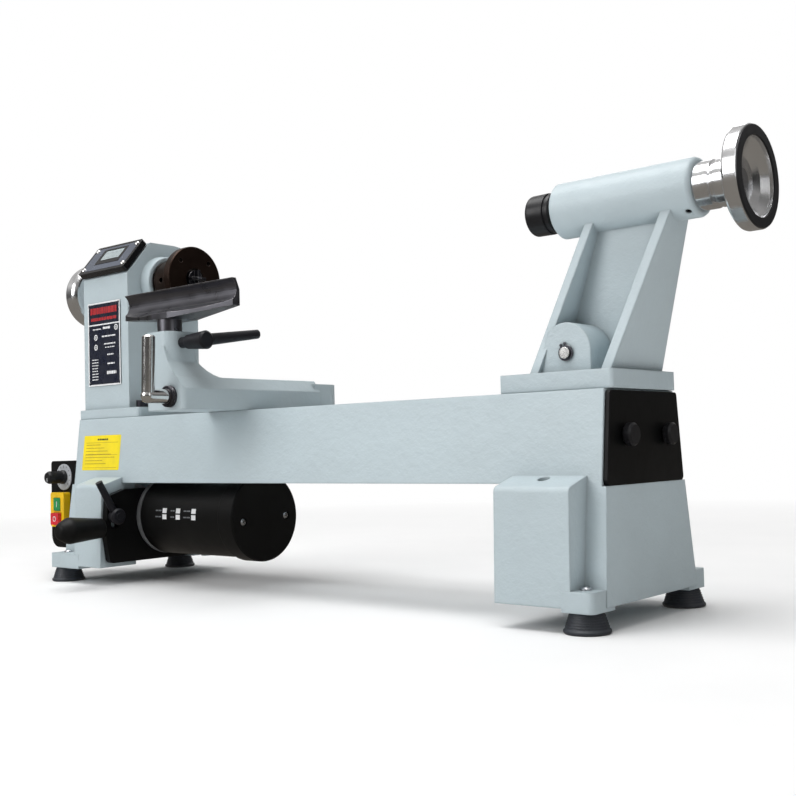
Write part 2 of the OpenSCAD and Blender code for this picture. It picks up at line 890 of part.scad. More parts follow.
module tension_lock_lever() {
    color("#151515") placed() translate([plate_x[1] + 0.3, tension_stud_y, tension_stud_z])
        rotate([120, 0, 0]) rotate([0, 90, 0]) lock_lever(9, 8.8, 44, 4.2, 3.8, 4, 16.5);
}

// ---------------------------------------------------------------- controls

control_left = -757;
control_front = -60;
control_back = 15;
control_top = -47.5;
control_bottom = -150;
dial_x = -729;
dial_z = -66.6;
dial_radius = 15.4;

// The box hangs on the end face of the headstock leg, and its side follows the step in that face.
module control_box() {
    color("#242628") placed() difference() {
        along_y([control_front, control_back], rounded([
            [control_left, control_bottom, 14],
            [control_left, control_top, 4],
            [-bed_length - fit, control_top],
            [-bed_length - fit, shelf_edge_z + fit],
            [-bed_length - leg_step - fit, shelf_edge_z + fit],
            [-bed_length - leg_end(control_bottom) - fit, control_bottom]
        ]));
        cylinder_y([control_front - 1, control_front + 12], 3 + fit, x = dial_x, z = dial_z);
        for (z = [start_z, stop_z])
            cylinder_y([control_front - 1, control_front + 12], 4 + button_gap, x = switch_middle, z = z);
    }
}

module dial_plate() {
    color("silver") placed() difference() {
        cylinder_y([control_front - 1.2, control_front - fit], dial_radius, x = dial_x, z = dial_z);
        cylinder_y([control_front - 2, control_front], 4, x = dial_x, z = dial_z);
    }
}

module speed_knob() {
    color("#181818") placed() translate([dial_x, control_front - 1.5, dial_z]) rotate([90, 0, 0]) {
        translate([0, 0, -10]) cylinder(h = 11, r = 3);
        difference() {
            turned_z([[0, 0], [0, 8.2], [2.5, 8.2], [4, 7.4], [20, 7], [22, 5.8], [22, 0]]);
            translate([-0.6, 2, 20.5]) cube([1.2, 5, 4]);
        }
    }
}

switch_x = [-745, -717.5];
switch_middle = (switch_x[0] + switch_x[1]) / 2;
switch_z = [-125, -84.5];
switch_depth = 9;
start_z = -98.5;
stop_z = -115.5;
start_size = [13, 15];
stop_size = [16, 14];
button_gap = 0.3;

module button_outline(size, r) {
    half = size / 2;
    polygon(rounded([
        [-half[0], -half[1], r],
        [half[0], -half[1], r],
        [half[0], half[1], r],
        [-half[0], half[1], r]
    ]));
}

module switch_housing() {
    color("gold") placed() translate([switch_middle, control_front - fit, 0]) rotate([90, 0, 0]) difference() {
        translate([0, (switch_z[0] + switch_z[1]) / 2, 0])
            linear_extrude(switch_depth) button_outline([switch_x[1] - switch_x[0], switch_z[1] - switch_z[0]], 3);
        for (b = [[start_z, start_size], [stop_z, stop_size]])
            translate([0, b[0], -1]) linear_extrude(switch_depth + 2) button_outline(b[1] + 2 * button_gap * [1, 1], 1.5);
    }
}

// A button stands proud of the housing and has room to travel behind it.
module push_button(size, proud) {
    translate([0, 0, 4.5]) linear_extrude(switch_depth - 4.5 + proud) button_outline(size, 1.5);
    translate([0, 0, -6]) cylinder(h = 11, r = 4);
}

module start_button() {
    color("green") placed() translate([switch_middle, control_front - fit, start_z]) rotate([90, 0, 0])
        push_button(start_size, 0.8);
}

module stop_button() {
    color("red") placed() translate([switch_middle, control_front - fit, stop_z]) rotate([90, 0, 0])
        push_button(stop_size, 4);
}

// ---------------------------------------------------------------- banjo and tool rest

banjo_half = 30.5;
banjo_left = banjo_x - banjo_half;
banjo_right = banjo_x + banjo_half;
banjo_back = 82;
banjo_gap = 0.2;
post_x = banjo_x - 10.5;
post_y = -121;
boss_right = banjo_x + 8.5;
boss_back = -102;
boss_top = 77;
cam_x = banjo_x + 11.5;
cam_z = 13;
cam_radius = 7;
rest_lock_z = 66;
banjo_slot = [-36, 52];

module banjo_casting() {
    color("lightsteelblue") placed() difference() {
        union() {
            // foot with a chamfered top
            intersection() {
                along_y([banjo_front, 47], [
                    [banjo_left, banjo_gap],
                    [banjo_right, banjo_gap],
                    [banjo_right, 20],
                    [banjo_right - 9, 32],
                    [banjo_left + 9, 32],
                    [banjo_left, 20]
                ]);
                banjo_plan([0, 40], 5);
            }
            // lower end behind the ways
            along_z([banjo_gap, 28.5], rounded([
                [banjo_left + 2, 40],
                [banjo_right - 2, 40],
                [banjo_right - 2, banjo_back, 18],
                [banjo_left + 2, banjo_back, 18]
            ]));
            // boss for the post: a rounded square, flush with the foot on the headstock side
            along_z([banjo_gap, boss_top], rounded([
                [banjo_left, banjo_front, 11],
                [boss_right, banjo_front, 11],
                [boss_right, boss_back, 4],
                [banjo_left, boss_back, 4]
            ]));
            // flare into the foot on the tailstock side, with a hollow sweep behind the boss
            intersection() {
                along_y([banjo_front, -20], rounded([
                    [banjo_left, banjo_gap],
                    [banjo_right, banjo_gap],
                    [banjo_right, 20],
                    [boss_right, 47, 14],
                    [boss_right - 6, 62],
                    [banjo_left + 5, 62],
                    [banjo_left, 46, 8]
                ]));
                along_x([-600, -300], rounded([
                    [banjo_front, banjo_gap],
                    [banjo_front, 62],
                    [boss_back - 2, 62],
                    [boss_back - 2, 32, 26],
                    [-30, 31],
                    [-30, banjo_gap]
                ]));
                banjo_plan([0, 70], 5);
            }
        }
        cylinder_z([post_bore_bottom, boss_top + 1], post_radius + fit, x = post_x, y = post_y);
        cylinder_y([banjo_front - 1, 70], cam_radius + fit, x = cam_x, z = cam_z);
        cylinder_x([post_x, -380], 4 + fit, y = post_y, z = rest_lock_z);
        // slot for the clamp stud
        translate([cam_x, 0, 0]) along_z([-1, 23], rounded([
            [-11, banjo_slot[0] - 11, 10.9],
            [11, banjo_slot[0] - 11, 10.9],
            [11, banjo_slot[1] + 11, 10.9],
            [-11, banjo_slot[1] + 11, 10.9]
        ]));
    }
}

// The foot seen from above, with rounded front corners.
module banjo_plan(z, corner) {
    along_z(z, rounded([
        [banjo_left, banjo_front, 11],
        [banjo_right, banjo_front, corner],
        [banjo_right, 60],
        [banjo_left, 60]
    ]));
}

module banjo_cam_collar() {
    color("#151515") placed() difference() {
        translate([cam_x, banjo_front - fit, cam_z]) rotate([90, 0, 0])
            turned_z([[0, 0], [0, 10.5], [2, 10.5], [2.4, 9.6], [3, 9.6], [3.4, 10.3], [4.4, 10.3], [5, 9.4], [5, 0]]);
        cylinder_y([banjo_front - 10, banjo_front + 1], cam_radius + fit, x = cam_x, z = cam_z);
    }
}

cam_rod_y = banjo_front - 26;
cam_rod_radius = 6.2;
cam_rod_top = 56;

module banjo_cam_handle() {
    color("gainsboro") placed() translate([cam_x, 0, cam_z]) {
        // journal, eccentric middle and tail
        cylinder_y([cam_rod_y, -48.5], cam_radius);
        translate([0, 0, 1.5]) cylinder_y([-49, 64.5], 4.5);
        cylinder_y([64, 69], cam_radius);
        translate([0, cam_rod_y, 0]) sphere(r = cam_radius);
        translate([0, cam_rod_y, 0]) rotate([0, 2.5, 0]) {
            cylinder_z([0, cam_rod_top], cam_rod_radius);
            translate([0, 0, cam_rod_top])
                turned_z([[-0.01, 0], [-0.01, cam_rod_radius], [1.4, cam_rod_radius - 1.4], [1.4, 0]]);
        }
    }
}

clamp_plate_top = -way_thickness - 0.3;

// The stud's eye rides on the cam's eccentric middle and slides along it.
module banjo_clamp_stud() {
    color("dimgray") placed() translate([cam_x, 0, 0]) {
        difference() {
            cylinder_z([banjo_gap, 22.6], 10.5);
            translate([0, 0, cam_z + 1.5]) rotate([90, 0, 0]) linear_extrude(40, center = true)
                polygon(rounded([[-7.4, -7.4, 7], [7.4, -7.4, 7], [7.4, 5.6, 5.5], [-7.4, 5.6, 5.5]]));
        }
        cylinder_z([-38, 1], 6);
    }
}

module banjo_clamp_plate() {
    color("dimgray") placed() translate([cam_x, 0, 0]) difference() {
        union() {
            along_z([clamp_plate_top - 9, clamp_plate_top], rounded([
                [-22, -38, 5],
                [22, -38, 5],
                [22, 38, 5],
                [-22, 38, 5]
            ]));
            along_z([clamp_plate_top - 1, -0.5], rounded([
                [-18, -slot_half + 0.4, 1],
                [18, -slot_half + 0.4, 1],
                [18, slot_half - 0.4, 1],
                [-18, slot_half - 0.4, 1]
            ]));
            translate([0, 0, clamp_plate_top - 17]) cylinder(h = 9, r = 11, $fn = 6);
        }
        cylinder_z([-60, 5], 6 + fit);
    }
}

post_bore_bottom = 5;
post_bottom = 18;
web_bottom = 90;
blade_bottom = 98.5;
blade_front = -106;
blade_back = -97;
blade_shift = -8;

module tool_rest_post() {
    color("#26262a") placed() cylinder_z([post_bottom, web_bottom], post_radius, x = post_x, y = post_y);
}

// The blade's front is hollow, and an apron under it runs out and down to the post.
module tool_rest_blade() {
    left = blade_shift - rest_length / 2;
    right = blade_shift + rest_length / 2;
    apron_front = post_y - post_radius - 0.6;
    color("#26262a") placed() translate([post_x, 0, 0]) {
        along_x([left, right], [
            [blade_back, blade_bottom],
            [blade_back, 114],
            [blade_front + 4.5, rest_height],
            [blade_front - 0.5, rest_height],
            for (a = [-60 : 12 : 60])
                [blade_front + 5 - 10 * (1 - cos(a)), (rest_height + 103) / 2 - 11.3 * sin(a)],
            [blade_front, 104],
            [blade_front, blade_bottom]
        ]);
        intersection() {
            along_z([80, 120], [
                [left, blade_front],
                [-post_radius, apron_front],
                [post_radius, apron_front],
                [right, blade_front],
                [right, blade_back],
                [left, blade_back]
            ]);
            along_y([-140, -90], [
                [left, blade_bottom],
                [-post_radius, web_bottom + fit],
                [post_radius, web_bottom + fit],
                [right, blade_bottom],
                [right, 120],
                [left, 120]
            ]);
            along_x([-100, 100], [
                [apron_front - 1, web_bottom],
                [blade_back, web_bottom],
                [blade_back, 104],
                for (t = [0 : 0.2 : 1])
                    [blade_front + (apron_front - blade_front) * t, 104 - 8 * (1 - (1 - t) * (1 - t))],
                [apron_front - 1, 96]
            ]);
        }
    }
}

module rest_lock_lever() {
    start = post_x + post_radius + 0.3;
    neck_start = boss_right + 0.4;
    hub_start = boss_right + 10;
    color("#1b1b1f") placed() translate([hub_start, post_y, rest_lock_z]) rotate([8, 0, 0]) rotate([0, 90, 0]) {
        translate([0, 0, start - hub_start]) cylinder(h = hub_start - start + 1, r = 4);
        translate([0, 0, neck_start - hub_start]) cylinder(h = hub_start - neck_start + 1, r = 5.4);
        cylinder(h = 26, r1 = 7, r2 = 9);
        translate([0, 0, 25.99]) cylinder(h = 2, r1 = 9, r2 = 7.2);
        translate([0, 0, 20]) rotate([-90, 0, 0]) cylinder(h = 72, r1 = 6, r2 = 4.6);
    }
}

// ---------------------------------------------------------------- tailstock

tail_flange_top = 15.5;
tail_flange_half = 52.7;
tail_flange_x = [-101, 5];
barrel_x = [-66.5, 59.5];
set_screw_x = barrel_x[1] - 6;
set_screw_angle = 60;
rib_bottom_half = 42.7;
rib_top_half = 15.4;
tail_cam_x = -44;
tail_cam_z = 31;
tail_cam_radius = 7;
tail_cam_tip_radius = 4.7;
circlip_bore = 4;
tail_cam_throw = 2.2;
cam_boss_front = -38;
web_half = 4.5;

module tail_rib(bottom_x, top_x, thickness) {
    intersection() {
        along_y([-60, 60], [
            [bottom_x - thickness, tail_flange_top - 1],
            [bottom_x, tail_flange_top - 1],
            [top_x, 145],
            [top_x - thickness, 145]
        ]);
        along_x([-120, 80], [
            [-rib_bottom_half, tail_flange_top - 1],
            [rib_bottom_half, tail_flange_top - 1],
            [rib_top_half - 1, 145],
            [-rib_top_half + 1, 145]
        ]);
    }
}

module tailstock_casting() {
    color("lightsteelblue") placed() difference() {
        union() {
            along_z([0.2, tail_flange_top], rounded([
                [tail_flange_x[0], -tail_flange_half, 3],
                [tail_flange_x[1], -tail_flange_half, 3],
                [tail_flange_x[1], tail_flange_half, 3],
                [tail_flange_x[0], tail_flange_half, 3]
            ]));
            tail_rib(-2, 43, 9);
            tail_rib(-69.5, -26, 8);
            along_y([-web_half, web_half], [
                [-73, tail_flange_top - 1],
                [-4, tail_flange_top - 1],
                [38, 140],
                [-31, 140]
            ]);
            // cam boss on both sides of the web
            intersection() {
                along_y([cam_boss_front, 38], [
                    [-73, tail_flange_top - 1],
                    for (a = [180 : -10 : 0]) [tail_cam_x - 1 + 23 * cos(a), tail_cam_z + 2 + 23 * sin(a)],
                    [-22, tail_flange_top - 1]
                ]);
                along_y([-60, 60], [
                    [-73, tail_flange_top - 1],
                    [0, tail_flange_top - 1],
                    [30, 140],
                    [-31, 140]
                ]);
            }
            on_spindle_axis() turned_x([
                [barrel_x[0], 0],
                [barrel_x[0], barrel_radius - 1.5],
                [barrel_x[0] + 1.5, barrel_radius],
                [barrel_x[1] - 3, barrel_radius],
                [barrel_x[1] - 1, barrel_radius - 1],
                [barrel_x[1], barrel_radius - 3],
                [barrel_x[1], 0]
            ]);
            // guide tongue in the bed's slot
            box([-92, -62], [-slot_half + 0.4, slot_half - 0.4], [-6, 2]);
            box([-28, -15], [-slot_half + 0.4, slot_half - 0.4], [-6, 2]);
        }
        on_spindle_axis() cylinder_x([barrel_x[0] - 1, barrel_x[1] - 12], quill_radius + fit);
        on_spindle_axis() cylinder_x([barrel_x[1] - 13, barrel_x[1] + 1], 8 + fit);
        cylinder_y([-60, -9], tail_cam_tip_radius + fit, x = tail_cam_x, z = tail_cam_z);
        cylinder_y([9, 60], tail_cam_radius + fit, x = tail_cam_x, z = tail_cam_z);
        // room for the clamp bolt's eye
        box([tail_cam_x - 14, tail_cam_x + 14], [-10.3, 10.3], [-1, tail_cam_z + 16]);
        // key screw and lock screw holes
        translate([set_screw_x, 0, spindle_height]) rotate([set_screw_angle, 0, 0])
            cylinder_y([-30, -quill_radius + 4], 2.5 + fit);
        cylinder_y([quill_radius - 2, 30], 4 + fit, x = quill_lock_x, z = spindle_height);
    }
}

module barrel_set_screw() {
    color("dimgray") placed() translate([set_screw_x, 0, spindle_height]) rotate([set_screw_angle, 0, 0]) difference() {
        cylinder_y([-barrel_radius + 1, -quill_radius - 1.5], 2.5);
        cylinder_y([-barrel_radius, -barrel_radius + 3], 1.4);
    }
}

quill_left = -93.5;
quill_right = 18;
screw_radius = 6;

module quill() {
    color("silver") placed() on_spindle_axis() difference() {
        turned_x([
            [quill_left, 0],
            [quill_left, quill_radius - 1],
            [quill_left + 1, quill_radius],
            [quill_right - 1, quill_radius],
            [quill_right, quill_radius - 1],
            [quill_right, 0]
        ]);
        cylinder_x([quill_left - 0.01, quill_left + 55], 8.9, r_end = 6.6);
        cylinder_x([quill_left + 40, quill_right + 1], screw_radius + fit);
    }
}

module quill_cap() {
    color("#18181c") placed() on_spindle_axis() difference() {
        turned_x(rounded([
            [-95, 0],
            [-95, 17.6, 3],
            [-77, 17.8, 0.5],
            [-77, 16.6],
            [-75, 16.6],
            [-75, 17.6, 0.5],
            [-71.5, 17.6, 0.6],
            [-71.5, 0]
        ]));
        cylinder_x([-100, -70], quill_radius + fit);
    }
}

tail_screw_end = 93.7;

module feed_screw() {
    color("silver") placed() on_spindle_axis() {
        cylinder_x([-48, barrel_x[1] - 12.2], screw_radius);
        cylinder_x([barrel_x[1] - 12.5, tail_screw_end], 7.9);
    }
}

module tail_handwheel() {
    rim = 92.3;
    face = 105.4;
    color("gainsboro") placed() on_spindle_axis() difference() {
        turned_x([
            [barrel_x[1] + 0.2, 0],
            [barrel_x[1] + 0.2, 19],
            [72, 19],
            [72.6, 18.4],
            [73.4, 17.6],
            [75.5, 17.6],
            [76.3, 18.6],
            [86, 18.8],
            [88, 22],
            [rim - 2, 30],
            [rim - 1, tail_wheel_radius - 3],
            [rim + 0.5, tail_wheel_radius - 0.6],
            [rim + 2, tail_wheel_radius],
            [face - 2, tail_wheel_radius],
            [face - 1.4, tail_wheel_radius - 0.6],
            [face - 1.4, tail_wheel_radius - 9],
            [face - 4, tail_wheel_radius - 9.4],
            [face - 9, 24],
            [face - 12, 17],
            [face - 12, 0]
        ]);
        cylinder_x([barrel_x[1] - 2, tail_screw_end + 0.1], 7.9 + fit);
    }
}

module tail_wheel_ring() {
    face = 105.4;
    color("#101012") placed() on_spindle_axis() turned_x([
        [face - 1.4 + fit, tail_wheel_radius - 9],
        [face - 1.4 + fit, tail_wheel_radius - 0.8],
        [face - 0.4, tail_wheel_radius - 0.8],
        [face, tail_wheel_radius - 1.4],
        [face, tail_wheel_radius - 8.6],
        [face - 0.4, tail_wheel_radius - 9]
    ]);
}

module tail_cam_shaft() {
    color("gainsboro") placed() translate([tail_cam_x, 0, tail_cam_z]) difference() {
        union() {
            cylinder_y([cam_boss_front - 4, -10], tail_cam_tip_radius);
            translate([0, 0, tail_cam_throw]) cylinder_y([-10.2, 10.5], tail_cam_radius - tail_cam_throw - 0.1);
            cylinder_y([10.4, 62], tail_cam_radius);
        }
        difference() {
            cylinder_y([cam_boss_front - 2.3, cam_boss_front - 0.9], tail_cam_tip_radius + 1);
            cylinder_y([cam_boss_front - 3, cam_boss_front], circlip_bore);
        }
    }
}

module tail_cam_circlip() {
    color("#303034") placed() translate([tail_cam_x, 0, tail_cam_z]) difference() {
        union() {
            cylinder_y([cam_boss_front - 2.2, cam_boss_front - 1], circlip_bore + 2.6);
            rotate([0, -20, 0]) box([-2.8, 2.8], [cam_boss_front - 2.2, cam_boss_front - 1], [4, 8.6]);
        }
        cylinder_y([-60, -20], circlip_bore + fit);
        rotate([0, -20, 0]) box([-0.9, 0.9], [-60, -20], [0, 20]);
    }
}

module tail_cam_handle() {
    color("gainsboro") placed() difference() {
        translate([tail_cam_x, 56, tail_cam_z]) {
            cylinder_y([-7.5, 7.5], 10.5);
            cylinder_z([0, 72], 5);
            translate([0, 0, 71]) turned_z(rounded([[0, 0], [0, 5.5], [3, 8, 3], [24, 8.5, 7], [27, 0]]));
        }
        cylinder_y([40, 62.2], tail_cam_radius + fit, x = tail_cam_x, z = tail_cam_z);
    }
}

module tail_clamp_bolt() {
    color("dimgray") placed() translate([tail_cam_x, 0, 0]) {
        difference() {
            box([-11, 11], [-9.9, 9.9], [4, tail_cam_z + 13]);
            translate([0, 0, tail_cam_z + tail_cam_throw]) rotate([90, 0, 0]) linear_extrude(40, center = true)
                polygon(rounded([[-7.4, -5.1, 4.9], [7.4, -5.1, 4.9], [7.4, 5.8, 4.9], [-7.4, 5.8, 4.9]]));
        }
        cylinder_z([-38, 5], 6);
    }
}

module tail_clamp_plate() {
    color("dimgray") placed() translate([tail_cam_x, 0, 0]) {
        difference() {
            union() {
                along_z([clamp_plate_top - 9, clamp_plate_top], rounded([
                    [-22, -38, 5],
                    [22, -38, 5],
                    [22, 38, 5],
                    [-22, 38, 5]
                ]));
                translate([0, 0, clamp_plate_top - 17]) cylinder(h = 9, r = 11, $fn = 6);
            }
            cylinder_z([-60, 5], 6 + fit);
        }
    }
}

quill_lock_x = -40;

module quill_lock_lever() {
    start = quill_radius + 0.4;
    color("#1b1b1f") placed() translate([quill_lock_x, barrel_radius + 2.2, spindle_height])
        rotate([-90, 0, 0]) {
            translate([0, 0, start - barrel_radius - 2.2]) cylinder(h = barrel_radius + 3 - start, r = 4);
            translate([0, 0, -1.4]) cylinder(h = 2, r = 5.2);
            cylinder(h = 20, r1 = 6.5, r2 = 8);
            translate([0, 0, 14]) rotate([-90, 0, 0]) cylinder(h = 46, r1 = 5, r2 = 4);
        }
}

// ---------------------------------------------------------------- nodes

bed_casting();
rubber_feet();
foot_screws();
bed_end_plate();
end_plate_knobs();
headstock_casting();
headstock_bolts();
display_housing();
display_window();
display_screws();
info_plate();
belt_door();
belt_door_hinge();
belt_door_knob();
spindle();
spindle_bearings();
spindle_pulley();
spindle_handwheel();
faceplate();
drive_centre();
drive_belt();
motor_body();
motor_end_cap();
motor_cap_screws();
motor_terminal_box();
motor_plate();
motor_pivot_bolt();
motor_shaft();
motor_pulley();
motor_cable();
tension_rod();
tension_grip();
tension_lock_lever();
control_box();
dial_plate();
speed_knob();
switch_housing();
start_button();
stop_button();
banjo_casting();
banjo_cam_collar();
banjo_cam_handle();
banjo_clamp_stud();
banjo_clamp_plate();
tool_rest_post();
tool_rest_blade();
rest_lock_lever();
tailstock_casting();
barrel_set_screw();
quill();
quill_cap();
feed_screw();
tail_handwheel();
tail_wheel_ring();
tail_cam_shaft();
tail_cam_circlip();
tail_cam_handle();
tail_clamp_bolt();
tail_clamp_plate();
quill_lock_lever();
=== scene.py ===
import math
import random

import bpy
from mathutils import Matrix, Vector


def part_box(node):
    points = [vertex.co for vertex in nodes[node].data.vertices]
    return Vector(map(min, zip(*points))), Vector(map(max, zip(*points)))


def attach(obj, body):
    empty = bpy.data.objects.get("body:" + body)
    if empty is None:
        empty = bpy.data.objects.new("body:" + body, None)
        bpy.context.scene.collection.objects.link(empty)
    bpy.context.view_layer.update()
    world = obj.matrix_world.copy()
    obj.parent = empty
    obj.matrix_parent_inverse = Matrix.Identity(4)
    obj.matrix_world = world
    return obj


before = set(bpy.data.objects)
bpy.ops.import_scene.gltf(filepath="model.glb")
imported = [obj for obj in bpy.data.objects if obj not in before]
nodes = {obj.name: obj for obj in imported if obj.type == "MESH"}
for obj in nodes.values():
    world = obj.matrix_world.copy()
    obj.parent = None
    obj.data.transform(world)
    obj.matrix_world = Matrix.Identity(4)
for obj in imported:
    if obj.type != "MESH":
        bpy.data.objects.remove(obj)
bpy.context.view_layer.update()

MM = 0.001
SPINDLE_REACH = 554.4  # from the faceplate's front to the tailstock end of the bed
SPINDLE_HEIGHT = 155.0  # from the top of the bed to the spindle axis
FLOOR_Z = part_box("rubber_feet")[0].z
MOTOR_Y, MOTOR_Z = -10, -111  # the motor's axis, in the bed's millimetres
BUTTON_X = -731.25  # the middle of the start and stop buttons
TYPICAL_NOISE = (0.3, 0.7)  # where most values of a noise lie
MIX_A, MIX_B, MIX_RESULT = 6, 7, 2  # the colour sockets of a Mix node, by index


def bed(x, y, z):
    """A point measured in millimetres from the bed's tailstock end, its middle and its top."""
    return Vector(((x + SPINDLE_REACH) * MM, y * MM, (z - SPINDLE_HEIGHT) * MM))


# ---------------------------------------------------------------- finishes


class Graph:
    """A small helper for building a material's node tree."""

    def __init__(self, name):
        self.material = bpy.data.materials.new(name)
        self.material.use_nodes = True
        self.tree = self.material.node_tree
        self.shader = self.tree.nodes["Principled BSDF"]

    def node(self, kind, **settings):
        made = self.tree.nodes.new("ShaderNode" + kind)
        for key, value in settings.items():
            setattr(made, key, value)
        return made

    def link(self, source, target):
        self.tree.links.new(source, target)

    def position(self):
        return self.node("TexCoord").outputs["Object"]

    def noise(self, scale, detail=3.0, roughness=0.55, vector=None):
        made = self.node("TexNoise")
        made.inputs["Scale"].default_value = scale
        made.inputs["Detail"].default_value = detail
        made.inputs["Roughness"].default_value = roughness
        self.link(vector or self.position(), made.inputs["Vector"])
        return made.outputs["Fac"]

    def remap(self, value, low, high, new_low, new_high):
        made = self.node("MapRange")
        made.inputs["From Min"].default_value = low
        made.inputs["From Max"].default_value = high
        made.inputs["To Min"].default_value = new_low
        made.inputs["To Max"].default_value = new_high
        self.link(value, made.inputs["Value"])
        return made.outputs["Result"]

    def spread(self, noise, low, high):
        """A noise stretched over low to high."""
        return self.remap(noise, *TYPICAL_NOISE, low, high)

    def mix(self, factor, first, second):
        """Blends two colours; each is a tuple or a socket."""
        made = self.node("Mix", data_type="RGBA")
        self.link(factor, made.inputs["Factor"])
        for index, value in ((MIX_A, first), (MIX_B, second)):
            if isinstance(value, tuple):
                made.inputs[index].default_value = value + (1.0,)
            else:
                self.link(value, made.inputs[index])
        return made.outputs[MIX_RESULT]

    def mix_value(self, factor, first, second):
        made = self.node("Mix", data_type="FLOAT")
        self.link(factor, made.inputs["Factor"])
        for index, value in ((2, first), (3, second)):
            if isinstance(value, (int, float)):
                made.inputs[index].default_value = value
            else:
                self.link(value, made.inputs[index])
        return made.outputs[0]

    def math(self, operation, first, second=None):
        made = self.node("Math", operation=operation)
        for index, value in enumerate((first, second)):
            if isinstance(value, (int, float)):
                made.inputs[index].default_value = value
            elif value is not None:
                self.link(value, made.inputs[index])
        return made.outputs[0]

    def bump(self, height, strength, distance, normal=None):
        made = self.node("Bump")
        made.inputs["Strength"].default_value = strength
        made.inputs["Distance"].default_value = distance
        self.link(height, made.inputs["Height"])
        if normal is not None:
            self.link(normal, made.inputs["Normal"])
        return made.outputs["Normal"]

    def rounded_edges(self, radius, samples=4):
        made = self.node("Bevel", samples=samples)
        made.inputs["Radius"].default_value = radius
        return made.outputs["Normal"]

    def edge_mask(self, radius, low=0.02, high=0.25):
        """1 close to a sharp edge, 0 on open faces."""
        made = self.node("VectorMath", operation="DOT_PRODUCT")
        self.link(self.rounded_edges(radius), made.inputs[0])
        self.link(self.node("NewGeometry").outputs["Normal"], made.inputs[1])
        away = self.math("SUBTRACT", 1.0, made.outputs["Value"])
        return self.remap(away, low, high, 0.0, 1.0)

    def corner_shade(self, distance):
        """0 in a tight corner, 1 in the open."""
        made = self.node("AmbientOcclusion", samples=6)
        made.inputs["Distance"].default_value = distance
        return made.outputs["AO"]

    def set(self, name, value):
        socket = self.shader.inputs[name]
        if isinstance(value, tuple):
            socket.default_value = value + (1.0,) if len(value) == 3 else value
        elif isinstance(value, (int, float)):
            socket.default_value = value
        else:
            self.link(value, socket)


def painted(name, tone, shade, rough=(0.36, 0.5), grain=0.22, coarse=0.35, edge=1.1 * MM, shine=0.5):
    """Sprayed paint over a casting: pitted grain, soft waves, and painted shade that darkens the colour in
    the corners.
    """
    g = Graph(name)
    broad = g.noise(9.0, 4.0)
    fine = g.noise(520.0, 2.0, 0.6)
    tint = g.mix(g.spread(broad, 0.0, 1.0), tone, shade)
    # Painted shade: ambient occlusion darkens the colour towards 0.45 of the tone in tight corners.
    corner = g.remap(g.corner_shade(14 * MM), 0.35, 0.9, 0.55, 0.0)
    tint = g.mix(corner, tint, tuple(0.45 * c for c in tone))
    g.set("Base Color", tint)
    g.set("Roughness", g.spread(g.noise(45.0, 5.0), *rough))
    normal = g.rounded_edges(edge, 6)
    normal = g.bump(g.noise(60.0, 3.0), coarse, 0.9 * MM, normal)
    normal = g.bump(g.noise(170.0, 4.0, 0.65), coarse, 0.7 * MM, normal)
    normal = g.bump(fine, grain, 0.25 * MM, normal)
    g.set("Normal", normal)
    g.set("Specular IOR Level", shine)
    return g.material


def moulded(name, tone, rough=(0.35, 0.5), grain=0.15, edge=0.5 * MM, worn=0.25, shine=0.5):
    """Moulded plastic or rubber: fine grain, slightly paler on the edges."""
    g = Graph(name)
    pale = tuple(min(1.0, c * 1.5 + 0.03) for c in tone)
    deep = tuple(c * 0.8 + 0.004 for c in tone)
    patch = g.mix(g.remap(g.noise(30.0, 4.0), 0.3, 0.75, 0.0, 1.0), tone, deep)
    worn_edge = g.math("MULTIPLY", g.edge_mask(0.7 * MM), worn)
    g.set("Base Color", g.mix(worn_edge, patch, pale))
    g.set("Roughness", g.spread(g.noise(90.0, 5.0), *rough))
    g.set("Normal", g.bump(g.noise(1400.0, 2.0), grain, 0.08 * MM, g.rounded_edges(edge)))
    g.set("Specular IOR Level", shine)
    return g.material


def metal(name, tone, rough, along=None, marks=0.3, edge=0.4 * MM, smear=0.35, worn=None):
    """Bare or plated metal; along is the axis of a turned piece and gives it fine rings."""
    g = Graph(name)
    cloud = g.spread(g.noise(26.0, 5.0, 0.6), 0.0, 1.0)
    colour = g.mix(g.math("MULTIPLY", cloud, smear), tone, tuple(0.72 * c for c in tone))
    roughness = g.spread(g.noise(60.0, 5.0), *rough)
    if worn is not None:
        edges = g.edge_mask(0.9 * MM)
        patchy = g.math("MULTIPLY", edges, g.remap(g.noise(160.0, 4.0), 0.35, 0.6, 0.15, 1.0))
        colour = g.mix(patchy, colour, worn)
        roughness = g.mix_value(patchy, roughness, 0.3)
    g.set("Base Color", colour)
    g.set("Metallic", 1.0)
    normal = g.rounded_edges(edge)
    if along is not None:
        split = g.node("SeparateXYZ")
        g.link(g.position(), split.inputs[0])
        flat = g.node("CombineXYZ")
        for axis in "XYZ":
            if axis != along:
                g.link(split.outputs[axis], flat.inputs[axis])
        length = g.node("VectorMath", operation="LENGTH")
        g.link(flat.outputs[0], length.inputs[0])
        place = g.math("ADD", length.outputs["Value"], split.outputs[along])
        ring = g.node("TexNoise", noise_dimensions="1D")
        g.link(place, ring.inputs["W"])
        ring.inputs["Scale"].default_value = 2400.0
        ring.inputs["Detail"].default_value = 2.0
        normal = g.bump(ring.outputs["Fac"], marks, 0.04 * MM, normal)
        roughness = g.math("ADD", roughness, g.spread(ring.outputs["Fac"], -0.03, 0.05))
    else:
        normal = g.bump(g.noise(700.0, 3.0), marks * 0.4, 0.04 * MM, normal)
    g.set("Roughness", roughness)
    g.set("Normal", normal)
    return g.material


